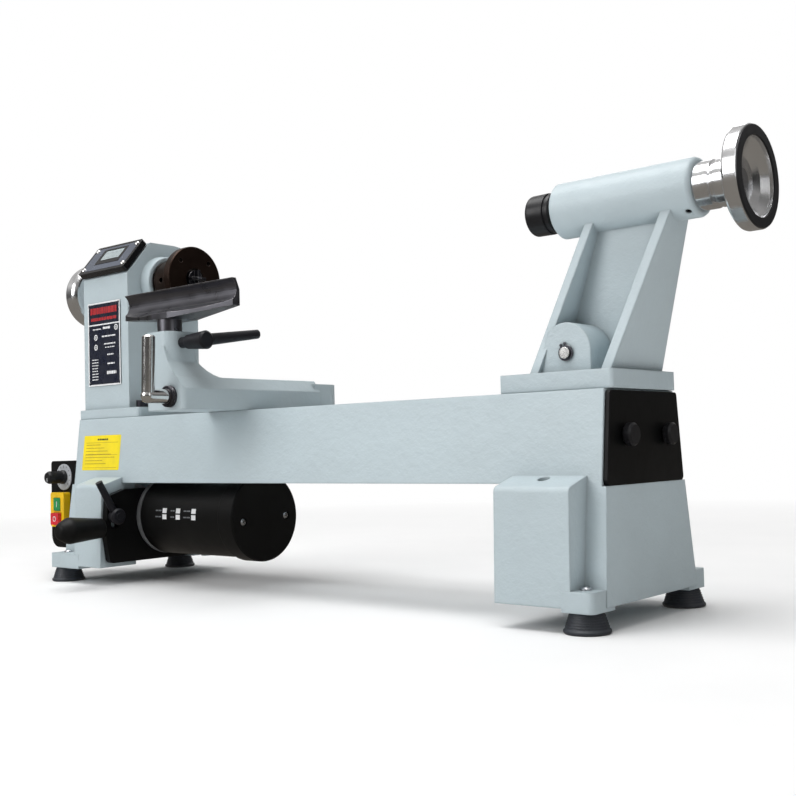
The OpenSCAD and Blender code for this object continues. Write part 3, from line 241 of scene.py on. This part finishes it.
def printed(name, tone, rough=0.45):
    """Ink or a label's film: nearly even, with slight fading."""
    g = Graph(name)
    faded = tuple(min(1.0, c * 0.86 + 0.012) for c in tone)
    g.set("Base Color", g.mix(g.remap(g.noise(70.0, 4.0), 0.35, 0.7, 0.0, 1.0), tone, faded))
    g.set("Roughness", g.spread(g.noise(120.0, 3.0), rough - 0.08, rough + 0.08))
    g.set("Normal", g.bump(g.noise(500.0, 2.0), 0.05, 0.05 * MM))
    return g.material


def display_glass(name):
    """A pale liquid-crystal window under clear plastic."""
    g = Graph(name)
    cloud = g.spread(g.noise(40.0, 3.0), 0.0, 1.0)
    g.set("Base Color", g.mix(cloud, (0.42, 0.5, 0.52), (0.52, 0.6, 0.61)))
    g.set("Roughness", g.spread(g.noise(60.0, 3.0), 0.05, 0.11))
    g.set("Coat Weight", 1.0)
    g.set("Coat Roughness", 0.03)
    g.set("Normal", g.bump(g.noise(30.0, 2.0), 0.03, 0.1 * MM))
    return g.material


CASTING_TONE = (0.485, 0.57, 0.605)
CASTING_SHADE = (0.445, 0.52, 0.55)
BLACK = (0.007, 0.007, 0.0075)
DEEP_BLACK = (0.004, 0.004, 0.004)
MOTOR_BLACK = (0.008, 0.008, 0.008)

finish = {
    "casting": painted("casting paint", CASTING_TONE, CASTING_SHADE, (0.34, 0.48), 0.6, 0.65, 2.2 * MM),
    "black_paint": painted("black paint", BLACK, DEEP_BLACK, (0.3, 0.42), 0.08, 0.1, 0.7 * MM, 0.15),
    "motor_paint": painted("motor paint", MOTOR_BLACK, DEEP_BLACK, (0.34, 0.44), 0.05, 0.06, 0.8 * MM, 0.15),
    "black_plastic": moulded("black plastic", (0.01, 0.01, 0.012), (0.3, 0.42), 0.1, 0.6 * MM, 0.2, 0.35),
    "glossy_black": moulded("glossy black", (0.006, 0.006, 0.007), (0.1, 0.2), 0.05),
    "grip": moulded("grip", (0.004, 0.004, 0.004), (0.4, 0.5), 0.1, 1.0 * MM, 0.05, 0.2),
    "lever": moulded("lever plastic", (0.008, 0.008, 0.012), (0.36, 0.5), 0.25, 0.7 * MM, 0.2, 0.35),
    "rubber": moulded("rubber", (0.03, 0.035, 0.045), (0.45, 0.6), 0.3, 0.8 * MM, 0.3),
    "belt": moulded("belt rubber", (0.012, 0.012, 0.012), (0.5, 0.7), 0.5, 0.4 * MM),
    "aluminium": metal("polished aluminium", (0.88, 0.885, 0.9), (0.12, 0.22), "X", 0.5),
    "pulley": metal("turned aluminium", (0.72, 0.72, 0.74), (0.22, 0.34), "X", 0.5),
    "chrome": metal("chrome", (0.86, 0.85, 0.84), (0.12, 0.22), None, 0.1, 0.5 * MM, 0.15),
    "chrome_x": metal("ground chrome", (0.8, 0.8, 0.8), (0.09, 0.16), "X", 0.2),
    "steel": metal("machined steel", (0.5, 0.5, 0.51), (0.24, 0.38), "X", 0.4),
    "zinc": metal("zinc plate", (0.62, 0.63, 0.66), (0.2, 0.34)),
    "faceplate": metal(
        "oiled iron", (0.05, 0.032, 0.025), (0.3, 0.42), "X", 0.35, 0.5 * MM, 0.4, worn=(0.2, 0.16, 0.14)
    ),
    "black_iron": metal(
        "black iron", (0.06, 0.06, 0.072), (0.3, 0.46), None, 0.8, 0.7 * MM, 0.5, worn=(0.45, 0.44, 0.45)
    ),
    "rest_iron": metal(
        "rubbed iron", (0.17, 0.17, 0.19), (0.24, 0.44), None, 1.4, 0.6 * MM, 0.75, worn=(0.62, 0.61, 0.62)
    ),
    "dial": moulded("dial plate", (0.5, 0.52, 0.55), (0.3, 0.42), 0.1, 0.4 * MM, 0.1),
    # Partly the end shield's own grey, partly a painted highlight on its rounded rim.
    "end_ring_highlight": moulded("end shield", (0.17, 0.175, 0.18), (0.3, 0.42), 0.2, 0.6 * MM, 0.4),
    # Painted reflection: a blue-grey colour that stands in for the sheen of light off the display's top.
    "painted_sheen": moulded("display membrane", (0.085, 0.1, 0.135), (0.16, 0.3), 0.05, 0.3 * MM, 0.1, 0.8),
    "display": display_glass("display window"),
    "plate_ink": printed("navy ink", (0.008, 0.011, 0.026), 0.3),
    "white_ink": printed("white ink", (0.82, 0.83, 0.84)),
    "red_ink": printed("red ink", (0.43, 0.012, 0.018)),
    # Black print for the label and dial; also painted shade in the screws' cross recesses.
    "black_print_and_shade": printed("black print and shade", (0.02, 0.02, 0.02)),
    "grey_ink": printed("grey ink", (0.15, 0.16, 0.17)),
    "yellow_film": printed("yellow film", (0.93, 0.74, 0.012), 0.4),
    "brown_ink": printed("brown ink", (0.42, 0.27, 0.012)),
    "yellow": moulded("yellow plastic", (0.9, 0.56, 0.006), (0.28, 0.4), 0.06, 0.5 * MM, 0.1),
    "green": moulded("green plastic", (0.02, 0.3, 0.09), (0.25, 0.36), 0.05, 0.5 * MM, 0.1),
    "red": moulded("red plastic", (0.66, 0.02, 0.035), (0.25, 0.36), 0.05, 0.5 * MM, 0.1),
}

node_finish = {
    "casting": ["bed_casting", "headstock_casting", "belt_door", "banjo_casting", "tailstock_casting"],
    "rubber": ["rubber_feet", "motor_cable"],
    "zinc": ["foot_screws", "motor_cap_screws", "motor_pivot_bolt", "belt_door_hinge"],
    "black_paint": ["bed_end_plate", "motor_plate", "control_box"],
    "motor_paint": ["motor_body", "motor_end_cap"],
    "black_plastic": [
        "end_plate_knobs", "belt_door_knob", "motor_terminal_box",
        "speed_knob", "quill_cap", "tail_wheel_ring",
    ],
    "glossy_black": ["display_housing"],
    "lever": ["tension_lock_lever", "rest_lock_lever", "quill_lock_lever"],
    "grip": ["tension_grip"],
    "black_iron": [
        "headstock_bolts", "drive_centre", "banjo_cam_collar", "banjo_clamp_plate",
        "barrel_set_screw", "tail_cam_circlip", "tail_clamp_plate",
    ],
    "rest_iron": ["tool_rest_post", "tool_rest_blade"],
    "display": ["display_window"],
    "chrome": [
        "display_screws", "tension_rod", "banjo_cam_handle", "tail_cam_shaft", "tail_cam_handle",
    ],
    "chrome_x": ["quill"],
    "plate_ink": ["info_plate"],
    "steel": [
        "spindle", "spindle_bearings", "motor_shaft", "feed_screw", "banjo_clamp_stud", "tail_clamp_bolt",
    ],
    "pulley": ["spindle_pulley", "motor_pulley"],
    "aluminium": ["spindle_handwheel", "tail_handwheel"],
    "faceplate": ["faceplate"],
    "belt": ["drive_belt"],
    "dial": ["dial_plate"],
    "yellow": ["switch_housing"],
    "green": ["start_button"],
    "red": ["stop_button"],
}


def dress_nodes():
    for key, names in node_finish.items():
        for name in names:
            data = nodes[name].data
            data.materials.clear()
            data.materials.append(finish[key])


# ---------------------------------------------------------------- building detail


def circle(radius, steps):
    """Points round the origin, from +X towards +Y."""
    turns = [2 * math.pi * k / steps for k in range(steps)]
    return [(radius * math.cos(a), radius * math.sin(a)) for a in turns]


def band(low, high, count):
    """Quads between two rings of count points that start at the indices low and high."""
    following = [(i + 1) % count for i in range(count)]
    return [[low + i, low + j, high + j, high + i] for i, j in enumerate(following)]


def lifted(place, height):
    """A frame moved along its own Z."""
    return place @ Matrix.Translation((0, 0, height))


class Piece:
    """Collects the faces of one detail piece; add() takes points in a local frame."""

    def __init__(self):
        self.points = []
        self.faces = []

    def add(self, points, faces, place=Matrix.Identity(4)):
        first = len(self.points)
        self.points += [place @ Vector(p) for p in points]
        self.faces += [[first + i for i in face] for face in faces]

    def slab(self, outline, height, place, chamfer=0.0):
        """A flat shape with a closed back; the outline is in X and Y, and it stands off along Z."""
        count = len(outline)
        centre = Vector((sum(p[0] for p in outline) / count, sum(p[1] for p in outline) / count))
        rings = [(0.0, 0.0), (0.0, height)]
        if chamfer:
            rings = [(0.0, 0.0), (0.0, height - chamfer), (chamfer, height)]
        points = []
        for inset, z in rings:
            for p in outline:
                towards = centre - Vector(p)
                step = towards.normalized() * inset if towards.length > 0 else Vector((0, 0))
                points.append((p[0] + step.x, p[1] + step.y, z))
        faces = [list(reversed(range(count)))]
        for ring in range(len(rings) - 1):
            faces += band(ring * count, (ring + 1) * count, count)
        faces.append([(len(rings) - 1) * count + i for i in range(count)])
        self.add(points, faces, place)

    def turned(self, profile, place, steps=48):
        """A closed profile of (radius, z) points turned about Z."""
        count = len(profile)
        points = [(r * x, r * y, z) for x, y in circle(1.0, steps) for r, z in profile]
        faces = []
        for k in range(steps):
            here, there = k * count, ((k + 1) % steps) * count
            for i in range(count):
                j = (i + 1) % count
                faces.append([here + i, there + i, there + j, here + j])
        self.add(points, faces, place)

    def make(self, name, body, key, smooth=False):
        mesh = bpy.data.meshes.new(name)
        mesh.from_pydata([tuple(p) for p in self.points], [], self.faces)
        mesh.update()
        obj = bpy.data.objects.new(name, mesh)
        bpy.context.scene.collection.objects.link(obj)
        mesh.materials.append(finish[key])
        if smooth:
            for polygon in mesh.polygons:
                polygon.use_smooth = True
        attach(obj, body)


def facing(origin, right, up):
    """A frame at origin whose X and Y are right and up, and whose Z looks out of the surface."""
    right, up = Vector(right).normalized(), Vector(up).normalized()
    out = right.cross(up)
    return Matrix.Translation(origin) @ Matrix((right, up, out)).transposed().to_4x4()


def rectangle(x0, x1, y0, y1, corner=0.0, steps=4):
    """A rectangle in metres, given in millimetres, with optional round corners."""
    if corner <= 0:
        return [(x0 * MM, y0 * MM), (x1 * MM, y0 * MM), (x1 * MM, y1 * MM), (x0 * MM, y1 * MM)]
    points = []
    centres = ((x1 - corner, y0 + corner, -90), (x1 - corner, y1 - corner, 0),
               (x0 + corner, y1 - corner, 90), (x0 + corner, y0 + corner, 180))
    for cx, cy, start in centres:
        for k in range(steps + 1):
            a = math.radians(start + 90 * k / steps)
            points.append(((cx + corner * math.cos(a)) * MM, (cy + corner * math.sin(a)) * MM))
    return points


def disc(x, y, radius, steps):
    return [((x + across) * MM, (y + along) * MM) for across, along in circle(radius, steps)]


SHORTEST_BAR = 0.6  # millimetres, like all the bars' sizes
BAR_LENGTHS = (2.2, 6.5)


def bar_rows(piece, place, rows, height, lift, seed, gap=1.4):
    """Rows of short bars that stand for printed lines; a row is (x0, x1, y, thickness)."""
    draw = random.Random(seed)
    for x0, x1, y, thickness in rows:
        x = x0
        while x < x1 - SHORTEST_BAR:
            end = min(x1, x + draw.uniform(*BAR_LENGTHS))
            outline = rectangle(x, end, y - thickness / 2, y + thickness / 2)
            piece.slab(outline, height, lifted(place, lift))
            x = end + gap * draw.uniform(0.5, 1.0)


# ---------------------------------------------------------------- labels and marks


def warning_label():
    """The yellow sticker on the bed's front: its lines are plain bars."""
    slope, depth = 0.1146, 39  # the draft of the bed's front, and the label's middle below its top
    place = facing(bed(-651.5, -57 - depth * slope - 0.02, -depth), (1, 0, 0), (0, slope, 1))
    film = Piece()
    film.slab(rectangle(-35.5, 35.5, -20, 20, 1.5), 0.18 * MM, place)
    film.make("warning_label", "frame", "yellow_film")
    lines = Piece()
    lift = 0.17 * MM
    bar_rows(lines, place, [(-9, 11, 15.2, 2.0)], 0.05 * MM, lift, 3, 0.9)
    lines.make("warning_label_heading", "frame", "black_print_and_shade")
    body = Piece()
    rows = [(-30, -2 + (k * 37 % 30), 9 - 3.6 * k, 0.7) for k in range(7)]
    bar_rows(body, place, rows, 0.05 * MM, lift, 5, 0.6)
    for y in (11.6, -2.4, -17.2):
        body.slab(rectangle(-31, 31, y - 0.2, y + 0.2), 0.05 * MM, lifted(place, lift))
    body.make("warning_label_lines", "frame", "brown_ink")


def information_plate():
    """Border, red heading block and rows of generic marks on the headstock's front plate."""
    place = facing(bed(-657.5, -51.4, 87.25), (1, 0, 0), (0, 0, 1))
    lift = 0.12 * MM
    raised = lifted(place, lift - 0.1 * MM)
    border = Piece()
    for x0, x1, y0, y1 in (
        (-31.4, 31.4, 46.9, 48.7),
        (-31.4, 31.4, -48.7, -46.9),
        (-31.4, -29.6, -46.9, 46.9),
        (29.6, 31.4, -46.9, 46.9),
        (-29.6, 29.6, 21.9, 23.4),
    ):
        border.slab(rectangle(x0, x1, y0, y1), lift, raised)
    border.make("plate_border", "frame", "white_ink")
    red = Piece()
    bar_rows(red, raised, [(-26, 25, 39.0, 7.4), (-25, 25, 29.2, 3.6)], lift, 0.0, 11, 1.1)
    red.make("plate_heading", "frame", "red_ink")
    marks = Piece()
    rows = [
        (-22, -6, 17.5, 1.2), (-2, 12, 18.2, 2.6), (-4, 22, 8.5, 1.6), (0, 22, -0.5, 1.4),
        (2, 20, -4.5, 1.0), (6, 18, -13, 1.6), (6, 20, -23.5, 1.6), (5, 23, -34, 3.6),
    ]
    rows += [(-24, -12, -18 - 3.3 * k, 1.0) for k in range(8)]
    bar_rows(marks, raised, rows, lift, 0.0, 17, 1.0)
    for x, y in ((-16, 8), (-16, -3.5), (23.5, 17.5)):
        ring = [(r * MM, z) for r, z in ((3.4, 0), (3.4, lift), (2.2, lift), (2.2, 0))]
        marks.turned(ring, raised @ Matrix.Translation((x * MM, y * MM, 0)), 24)
        marks.slab(disc(x, y, 1.1, 14), lift, raised)
    marks.make("plate_marks", "frame", "white_ink")


def motor_label():
    """Small white squares with short dashes, printed round the motor's body."""
    radius = 43.5 * MM
    centre = bed(0, MOTOR_Y, MOTOR_Z)
    piece = Piece()

    def patch(x0, x1, z0, z1):
        """A small patch that follows the round body."""
        cells = 3
        points, faces = [], []
        for skin in (radius - 0.1 * MM, radius + 0.09 * MM):
            for k in range(cells + 1):
                z = (z0 + (z1 - z0) * k / cells - MOTOR_Z) * MM
                y = -math.sqrt(skin * skin - z * z)
                for x in (x0, x1):
                    points.append((bed(x, 0, 0).x, centre.y + y, centre.z + z))
        half = 2 * (cells + 1)
        for k in range(cells):
            faces.append([half + 2 * k, half + 2 * k + 1, half + 2 * k + 3, half + 2 * k + 2])
            faces.append([2 * k + 2, 2 * k + 3, 2 * k + 1, 2 * k])
            faces.append([2 * k, half + 2 * k, half + 2 * k + 2, 2 * k + 2])
            faces.append([2 * k + 3, half + 2 * k + 3, half + 2 * k + 1, 2 * k + 1])
        last = 2 * cells
        faces.append([0, 1, half + 1, half])
        faces.append([last, half + last, half + last + 1, last + 1])
        piece.add(points, faces)

    rows = (-103.7, -110.4)
    for z in rows:
        for x in (-548.5, -525.5, -499.5):
            patch(x - 3.5, x + 3.5, z - 2.6, z + 2.6)
    piece.make("motor_label", "motor_mount", "white_ink")
    piece = Piece()
    for z in rows:
        for x0, x1 in ((-564, -554), (-538, -531.5), (-516, -505)):
            middle = (x0 + x1) / 2
            for part in ((x0, middle - 0.8), (middle, x1)):
                patch(part[0], part[1], z - 0.7, z + 0.7)
    piece.make("motor_label_lines", "motor_mount", "grey_ink")


def motor_end_ring():
    """The grey rim of the motor's end shield, beside the mounting plate; the grey is partly the shield's own
    colour and partly a painted highlight on the rounded rim.
    """
    ring = Piece()
    place = facing(bed(-598.8, MOTOR_Y, MOTOR_Z), (0, 1, 0), (0, 0, 1))
    profile = [(38.9, 0.0), (42.6, 0.0), (43.6, 1.0), (43.6, 5.6), (43.0, 6.2), (38.9, 6.2)]
    ring.turned([(r * MM, z * MM) for r, z in profile], place, 96)
    ring.make("motor_end_ring", "motor_mount", "end_ring_highlight")


def dial_marks():
    """Ticks round the speed knob, and the ribs and pointer on it."""
    x, z, tick_count, rib_count = -729, -66.6, 11, 24
    place = facing(bed(x, -61.25, z), (1, 0, 0), (0, 0, 1))
    ticks = Piece()
    for k in range(tick_count):
        turn = place @ Matrix.Rotation(math.radians(225 - 27 * k), 4, "Z")
        longer = 1.2 if k % 5 == 0 else 0.0
        ticks.slab(rectangle(11.6 - longer, 13.8, -0.3, 0.3), 0.1 * MM, lifted(turn, -0.02 * MM))
    ticks.make("dial_ticks", "frame", "black_print_and_shade")
    knob = facing(bed(x, -61.5, z), (1, 0, 0), (0, 0, 1))
    ribs = Piece()
    for k in range(rib_count):
        turn = knob @ Matrix.Rotation(2 * math.pi * k / rib_count, 4, "Z")
        ribs.slab(rectangle(6.6, 7.45, -0.35, 0.35), 14 * MM, lifted(turn, 5 * MM), 0.2 * MM)
    ribs.make("knob_ribs", "speed_control", "black_plastic")
    pointer = Piece()
    pointer.slab(rectangle(-0.4, 0.4, -4.6, -0.5), 0.12 * MM, lifted(knob, 21.95 * MM))
    pointer.make("knob_pointer", "speed_control", "white_ink")


def button_marks():
    """A bar on the start button and a ring on the stop button."""
    start = facing(bed(BUTTON_X, -69.9, -98.5), (1, 0, 0), (0, 0, 1))
    bar = Piece()
    bar.slab(rectangle(-0.5, 0.5, -3.4, 3.4), 0.1 * MM, start)
    bar.make("start_mark", "start_control", "white_ink")
    stop = facing(bed(BUTTON_X, -73.06, -115.5), (1, 0, 0), (0, 0, 1))
    ring = Piece()
    ring.turned([(3.1 * MM, 0), (3.1 * MM, 0.1 * MM), (2.3 * MM, 0.1 * MM), (2.3 * MM, 0)], stop, 28)
    ring.make("stop_mark", "stop_control", "white_ink")


def slope_frame():
    """The display's own frame: X along the lathe, Y up the slope, Z out of it."""
    angle = math.atan2(38.0, 31.5)
    up = (0, math.cos(angle), math.sin(angle))
    return facing(bed(-700, -50.8, 166), (1, 0, 0), up)


def display_detail():
    """The window's bezel, a blue-grey sheet round it whose colour is a painted reflection of the sheen on the
    display's top, and a row of generic figures on it.
    """
    place = slope_frame()
    bezel = Piece()
    outer = rectangle(20.6, 67.4, 13.6, 38.4, 2.6)
    inner = rectangle(25.5, 62.5, 20.5, 36.5, 1.4)
    count = len(outer)
    low, high = 7.9 * MM, 8.35 * MM
    rings = ((outer, low), (outer, high), (inner, high), (inner, low))
    points = [(x, y, z) for ring, z in rings for x, y in ring]
    faces = []
    for ring in range(len(rings)):
        faces += band(ring * count, (ring + 1) % len(rings) * count, count)
    bezel.add(points, faces, place)
    bezel.make("display_bezel", "frame", "glossy_black")
    # Painted reflection: this sheet's blue-grey stands in for the sheen of light off the display's top.
    painted_sheen = Piece()
    for x0, x1, y0, y1 in ((4, 20, 4, 42), (68, 84, 4, 42), (20, 68, 4, 13), (20, 68, 39, 42)):
        painted_sheen.slab(rectangle(x0, x1, y0, y1), 0.2 * MM, lifted(place, 7.95 * MM))
    painted_sheen.make("display_painted_sheen", "frame", "painted_sheen")
    figures = Piece()
    glass = lifted(place, 7.74 * MM)
    for digit in range(4):
        x, y = 29 + 8.2 * digit, 23.5
        across, tall, line = 5.0, 4.8, 0.8
        for x0, x1, y0, y1 in (
            (0.5, across - 0.5, 0, line),
            (0.5, across - 0.5, 2 * tall - line, 2 * tall),
            (0, line, 0.7, tall - 0.2),
            (0, line, tall + 0.2, 2 * tall - 0.7),
            (across - line, across, 0.7, tall - 0.2),
            (across - line, across, tall + 0.2, 2 * tall - 0.7),
        ):
            figures.slab(rectangle(x + x0, x + x1, y + y0, y + y1), 0.06 * MM, glass)
    figures.make("display_figures", "frame", "grey_ink")


def cross_recess(name, body, places, size):
    """Dark crosses of painted shade that stand for the shaded recesses of cross-head screws."""
    piece = Piece()
    start, half_width, height = 0.4, size * 0.22, 0.12 * MM
    for place in places:
        for turn in (0, math.pi / 2):
            spun = place @ Matrix.Rotation(turn + start, 4, "Z")
            piece.slab(rectangle(-size, size, -half_width, half_width), height, spun)
    # The crosses are painted shade, drawn in the black of the printed marks.
    piece.make(name, body, "black_print_and_shade")


def screw_recesses():
    """Painted shade in the recesses of the display's four screws and of the motor end cap's two."""
    place = slope_frame()
    heads = 10.02  # the screw heads' faces, above the frame's plane
    spots = [place @ Matrix.Translation((x * MM, y * MM, heads * MM)) for x in (6, 82) for y in (7, 39)]
    cross_recess("display_screw_recesses", "frame", spots, 1.3)
    cap_screws = ((-30, -3.5), (30, 0))  # Y and Z from the motor's axis
    motor = [facing(bed(-435.02, MOTOR_Y + y, MOTOR_Z + z), (0, 1, 0), (0, 0, 1)) for y, z in cap_screws]
    cross_recess("motor_screw_recesses", "motor_mount", motor, 1.7)


def foot_rings():
    """Fine moulded rings round each rubber foot."""
    wide, narrow = 16.8, 13.4  # the foot's radii 4 mm and 14.5 mm above the floor
    piece = Piece()
    for x in (-8, -692):
        for y in (-80, 80):
            place = Matrix.Translation(bed(x, y, -184))
            for z in (5.4, 7.4, 9.4, 11.4, 13.2):
                r = wide - (z - 4) * (wide - narrow) / 10.5
                crest = ((-0.5, -0.5), (0.35, -0.15), (0.35, 0.15), (-0.5, 0.5))
                piece.turned([((r + out) * MM, (z + up) * MM) for out, up in crest], place, 56)
    piece.make("foot_rings", "frame", "rubber", smooth=True)


def clamp_threads():
    """Thread crests on the two clamp bolts, below their nuts."""
    first, pitch, root, tip = -31.4, 1.25, 5.7, 6.35
    for name, body, x in (("banjo_stud_thread", "banjo_stud", -425), ("tail_bolt_thread", "tail_clamp", -44)):
        piece = Piece()
        place = Matrix.Translation(bed(x, 0, 0))
        for k in range(5):
            z = first - pitch * k
            profile = [(root * MM, (z - 0.5) * MM), (tip * MM, z * MM), (root * MM, (z + 0.5) * MM)]
            piece.turned(profile, place, 32)
        piece.make(name, body, "steel")


# ---------------------------------------------------------------- studio


def gradient_floor():
    """A pale disc that fades into the backdrop's white with distance."""
    g = Graph("studio floor")
    length = g.node("VectorMath", operation="LENGTH")
    g.link(g.position(), length.inputs[0])
    far = g.remap(length.outputs["Value"], 0.55, 1.7, 0.0, 1.0)
    cloud = g.spread(g.noise(6.0, 3.0), 0.0, 1.0)
    g.set("Base Color", g.mix(cloud, (0.86, 0.865, 0.87), (0.89, 0.893, 0.896)))
    g.set("Roughness", g.spread(g.noise(20.0, 3.0), 0.7, 0.85))
    glow = g.node("Emission")
    glow.inputs["Color"].default_value = (1, 1, 1, 1)
    dim = g.node("Emission")
    dim.inputs["Color"].default_value = (0.2, 0.185, 0.165, 1)
    blend = g.node("MixShader")
    g.link(far, blend.inputs[0])
    g.link(g.shader.outputs[0], blend.inputs[1])
    g.link(glow.outputs[0], blend.inputs[2])
    seen = g.node("MixShader")
    g.link(g.node("LightPath").outputs["Is Glossy Ray"], seen.inputs[0])
    g.link(blend.outputs[0], seen.inputs[1])
    g.link(dim.outputs[0], seen.inputs[2])
    g.link(seen.outputs[0], g.tree.nodes["Material Output"].inputs["Surface"])
    steps, radius = 96, 14.0
    mesh = bpy.data.meshes.new("floor")
    mesh.from_pydata([(x, y, 0) for x, y in circle(radius, steps)], [], [list(range(steps))])
    mesh.materials.append(g.material)
    floor = bpy.data.objects.new("floor", mesh)
    floor.location = (0.2, 0, FLOOR_Z)
    bpy.context.scene.collection.objects.link(floor)


def studio_world():
    """White for the camera; a softer room with a darker band low down for light and reflections."""
    world = bpy.data.worlds.new("studio")
    bpy.context.scene.world = world
    world.use_nodes = True
    tree = world.node_tree
    tree.nodes.clear()
    out = tree.nodes.new("ShaderNodeOutputWorld")
    path = tree.nodes.new("ShaderNodeLightPath")
    seen = tree.nodes.new("ShaderNodeBackground")
    seen.inputs["Color"].default_value = (1, 1, 1, 1)
    room = tree.nodes.new("ShaderNodeBackground")
    mix = tree.nodes.new("ShaderNodeMixShader")
    coord = tree.nodes.new("ShaderNodeTexCoord")
    split = tree.nodes.new("ShaderNodeSeparateXYZ")
    ramp = tree.nodes.new("ShaderNodeValToRGB")
    height = tree.nodes.new("ShaderNodeMapRange")
    height.inputs["From Min"].default_value = -1.0
    tree.links.new(coord.outputs["Generated"], split.inputs[0])
    tree.links.new(split.outputs["Z"], height.inputs["Value"])
    tree.links.new(height.outputs["Result"], ramp.inputs["Fac"])
    # Height from straight down to straight up, and brightness.
    bands = (
        (0.0, 0.5), (0.49, 0.4), (0.51, 0.05), (0.58, 0.08), (0.64, 0.3),
        (0.7, 0.75), (0.8, 0.4), (0.86, 0.6), (1.0, 0.8),
    )
    points = ramp.color_ramp.elements
    while len(points) < len(bands):
        points.new(0.5)
    for point, (place, value) in zip(points, bands):
        point.position = place
        point.color = (value, value * 0.985, value * 0.97, 1)
    side = tree.nodes.new("ShaderNodeMapRange")
    for key, value in (("From Min", -0.2), ("From Max", 0.7), ("To Min", 1.0), ("To Max", 0.42)):
        side.inputs[key].default_value = value
    tree.links.new(split.outputs["X"], side.inputs["Value"])
    dark = tree.nodes.new("ShaderNodeVectorMath")
    dark.operation = "SCALE"
    tree.links.new(ramp.outputs["Color"], dark.inputs[0])
    tree.links.new(side.outputs["Result"], dark.inputs["Scale"])
    tree.links.new(dark.outputs["Vector"], room.inputs["Color"])
    room.inputs["Strength"].default_value = 0.9
    tree.links.new(path.outputs["Is Camera Ray"], mix.inputs[0])
    tree.links.new(room.outputs[0], mix.inputs[1])
    tree.links.new(seen.outputs[0], mix.inputs[2])
    tree.links.new(mix.outputs[0], out.inputs["Surface"])


def soft_box(name, place, target, size, power):
    """A rectangular area light aimed at target; sizes in metres, power in watts."""
    light = bpy.data.lights.new(name, "AREA")
    light.shape = "RECTANGLE"
    light.size, light.size_y = size
    light.energy = power
    obj = bpy.data.objects.new(name, light)
    obj.location = place
    obj.rotation_mode = "QUATERNION"
    obj.rotation_quaternion = (Vector(target) - Vector(place)).to_track_quat("-Z", "Y")
    bpy.context.scene.collection.objects.link(obj)


def lights():
    soft_box("top box", (0.1, -0.35, 1.9), (0.2, 0, -0.1), (2.2, 1.2), 36)
    soft_box("front box", (-0.7, -2.3, 0.9), (0.1, 0, -0.1), (1.4, 1.4), 26)
    soft_box("right box", (2.4, -0.6, 0.7), (0.3, 0, -0.1), (0.9, 1.4), 4)
    soft_box("back box", (-0.6, 2.2, 1.1), (0.2, 0, -0.1), (1.6, 1.0), 8)


CAMERA_PLACE = (0.98375, -0.80598, -0.19512)
CAMERA_YAW_PITCH_ROLL = (40.39, 2.47, -1.53)  # degrees
CAMERA_LENS = 50.07


def camera():
    """Low, in front of the tailstock and looking along the bed towards the headstock."""
    yaw, pitch, roll = (math.radians(a) for a in CAMERA_YAW_PITCH_ROLL)
    forward = Vector((-math.sin(yaw) * math.cos(pitch), math.cos(yaw) * math.cos(pitch), math.sin(pitch)))
    level = Vector((math.cos(yaw), math.sin(yaw), 0))
    above = level.cross(forward)
    right = level * math.cos(roll) + above * math.sin(roll)
    up = above * math.cos(roll) - level * math.sin(roll)
    lens = bpy.data.cameras.new("camera")
    lens.lens = CAMERA_LENS
    lens.sensor_width = 36.0
    lens.clip_start = 0.02
    obj = bpy.data.objects.new("camera", lens)
    turn = Matrix((right, up, -forward)).transposed().to_4x4()
    obj.matrix_world = Matrix.Translation(CAMERA_PLACE) @ turn
    bpy.context.scene.collection.objects.link(obj)
    bpy.context.scene.camera = obj


dress_nodes()
warning_label()
information_plate()
motor_label()
motor_end_ring()
dial_marks()
button_marks()
display_detail()
screw_recesses()
foot_rings()
clamp_threads()
gradient_floor()
studio_world()
lights()
camera()
bpy.context.scene.view_settings.view_transform = "Standard"
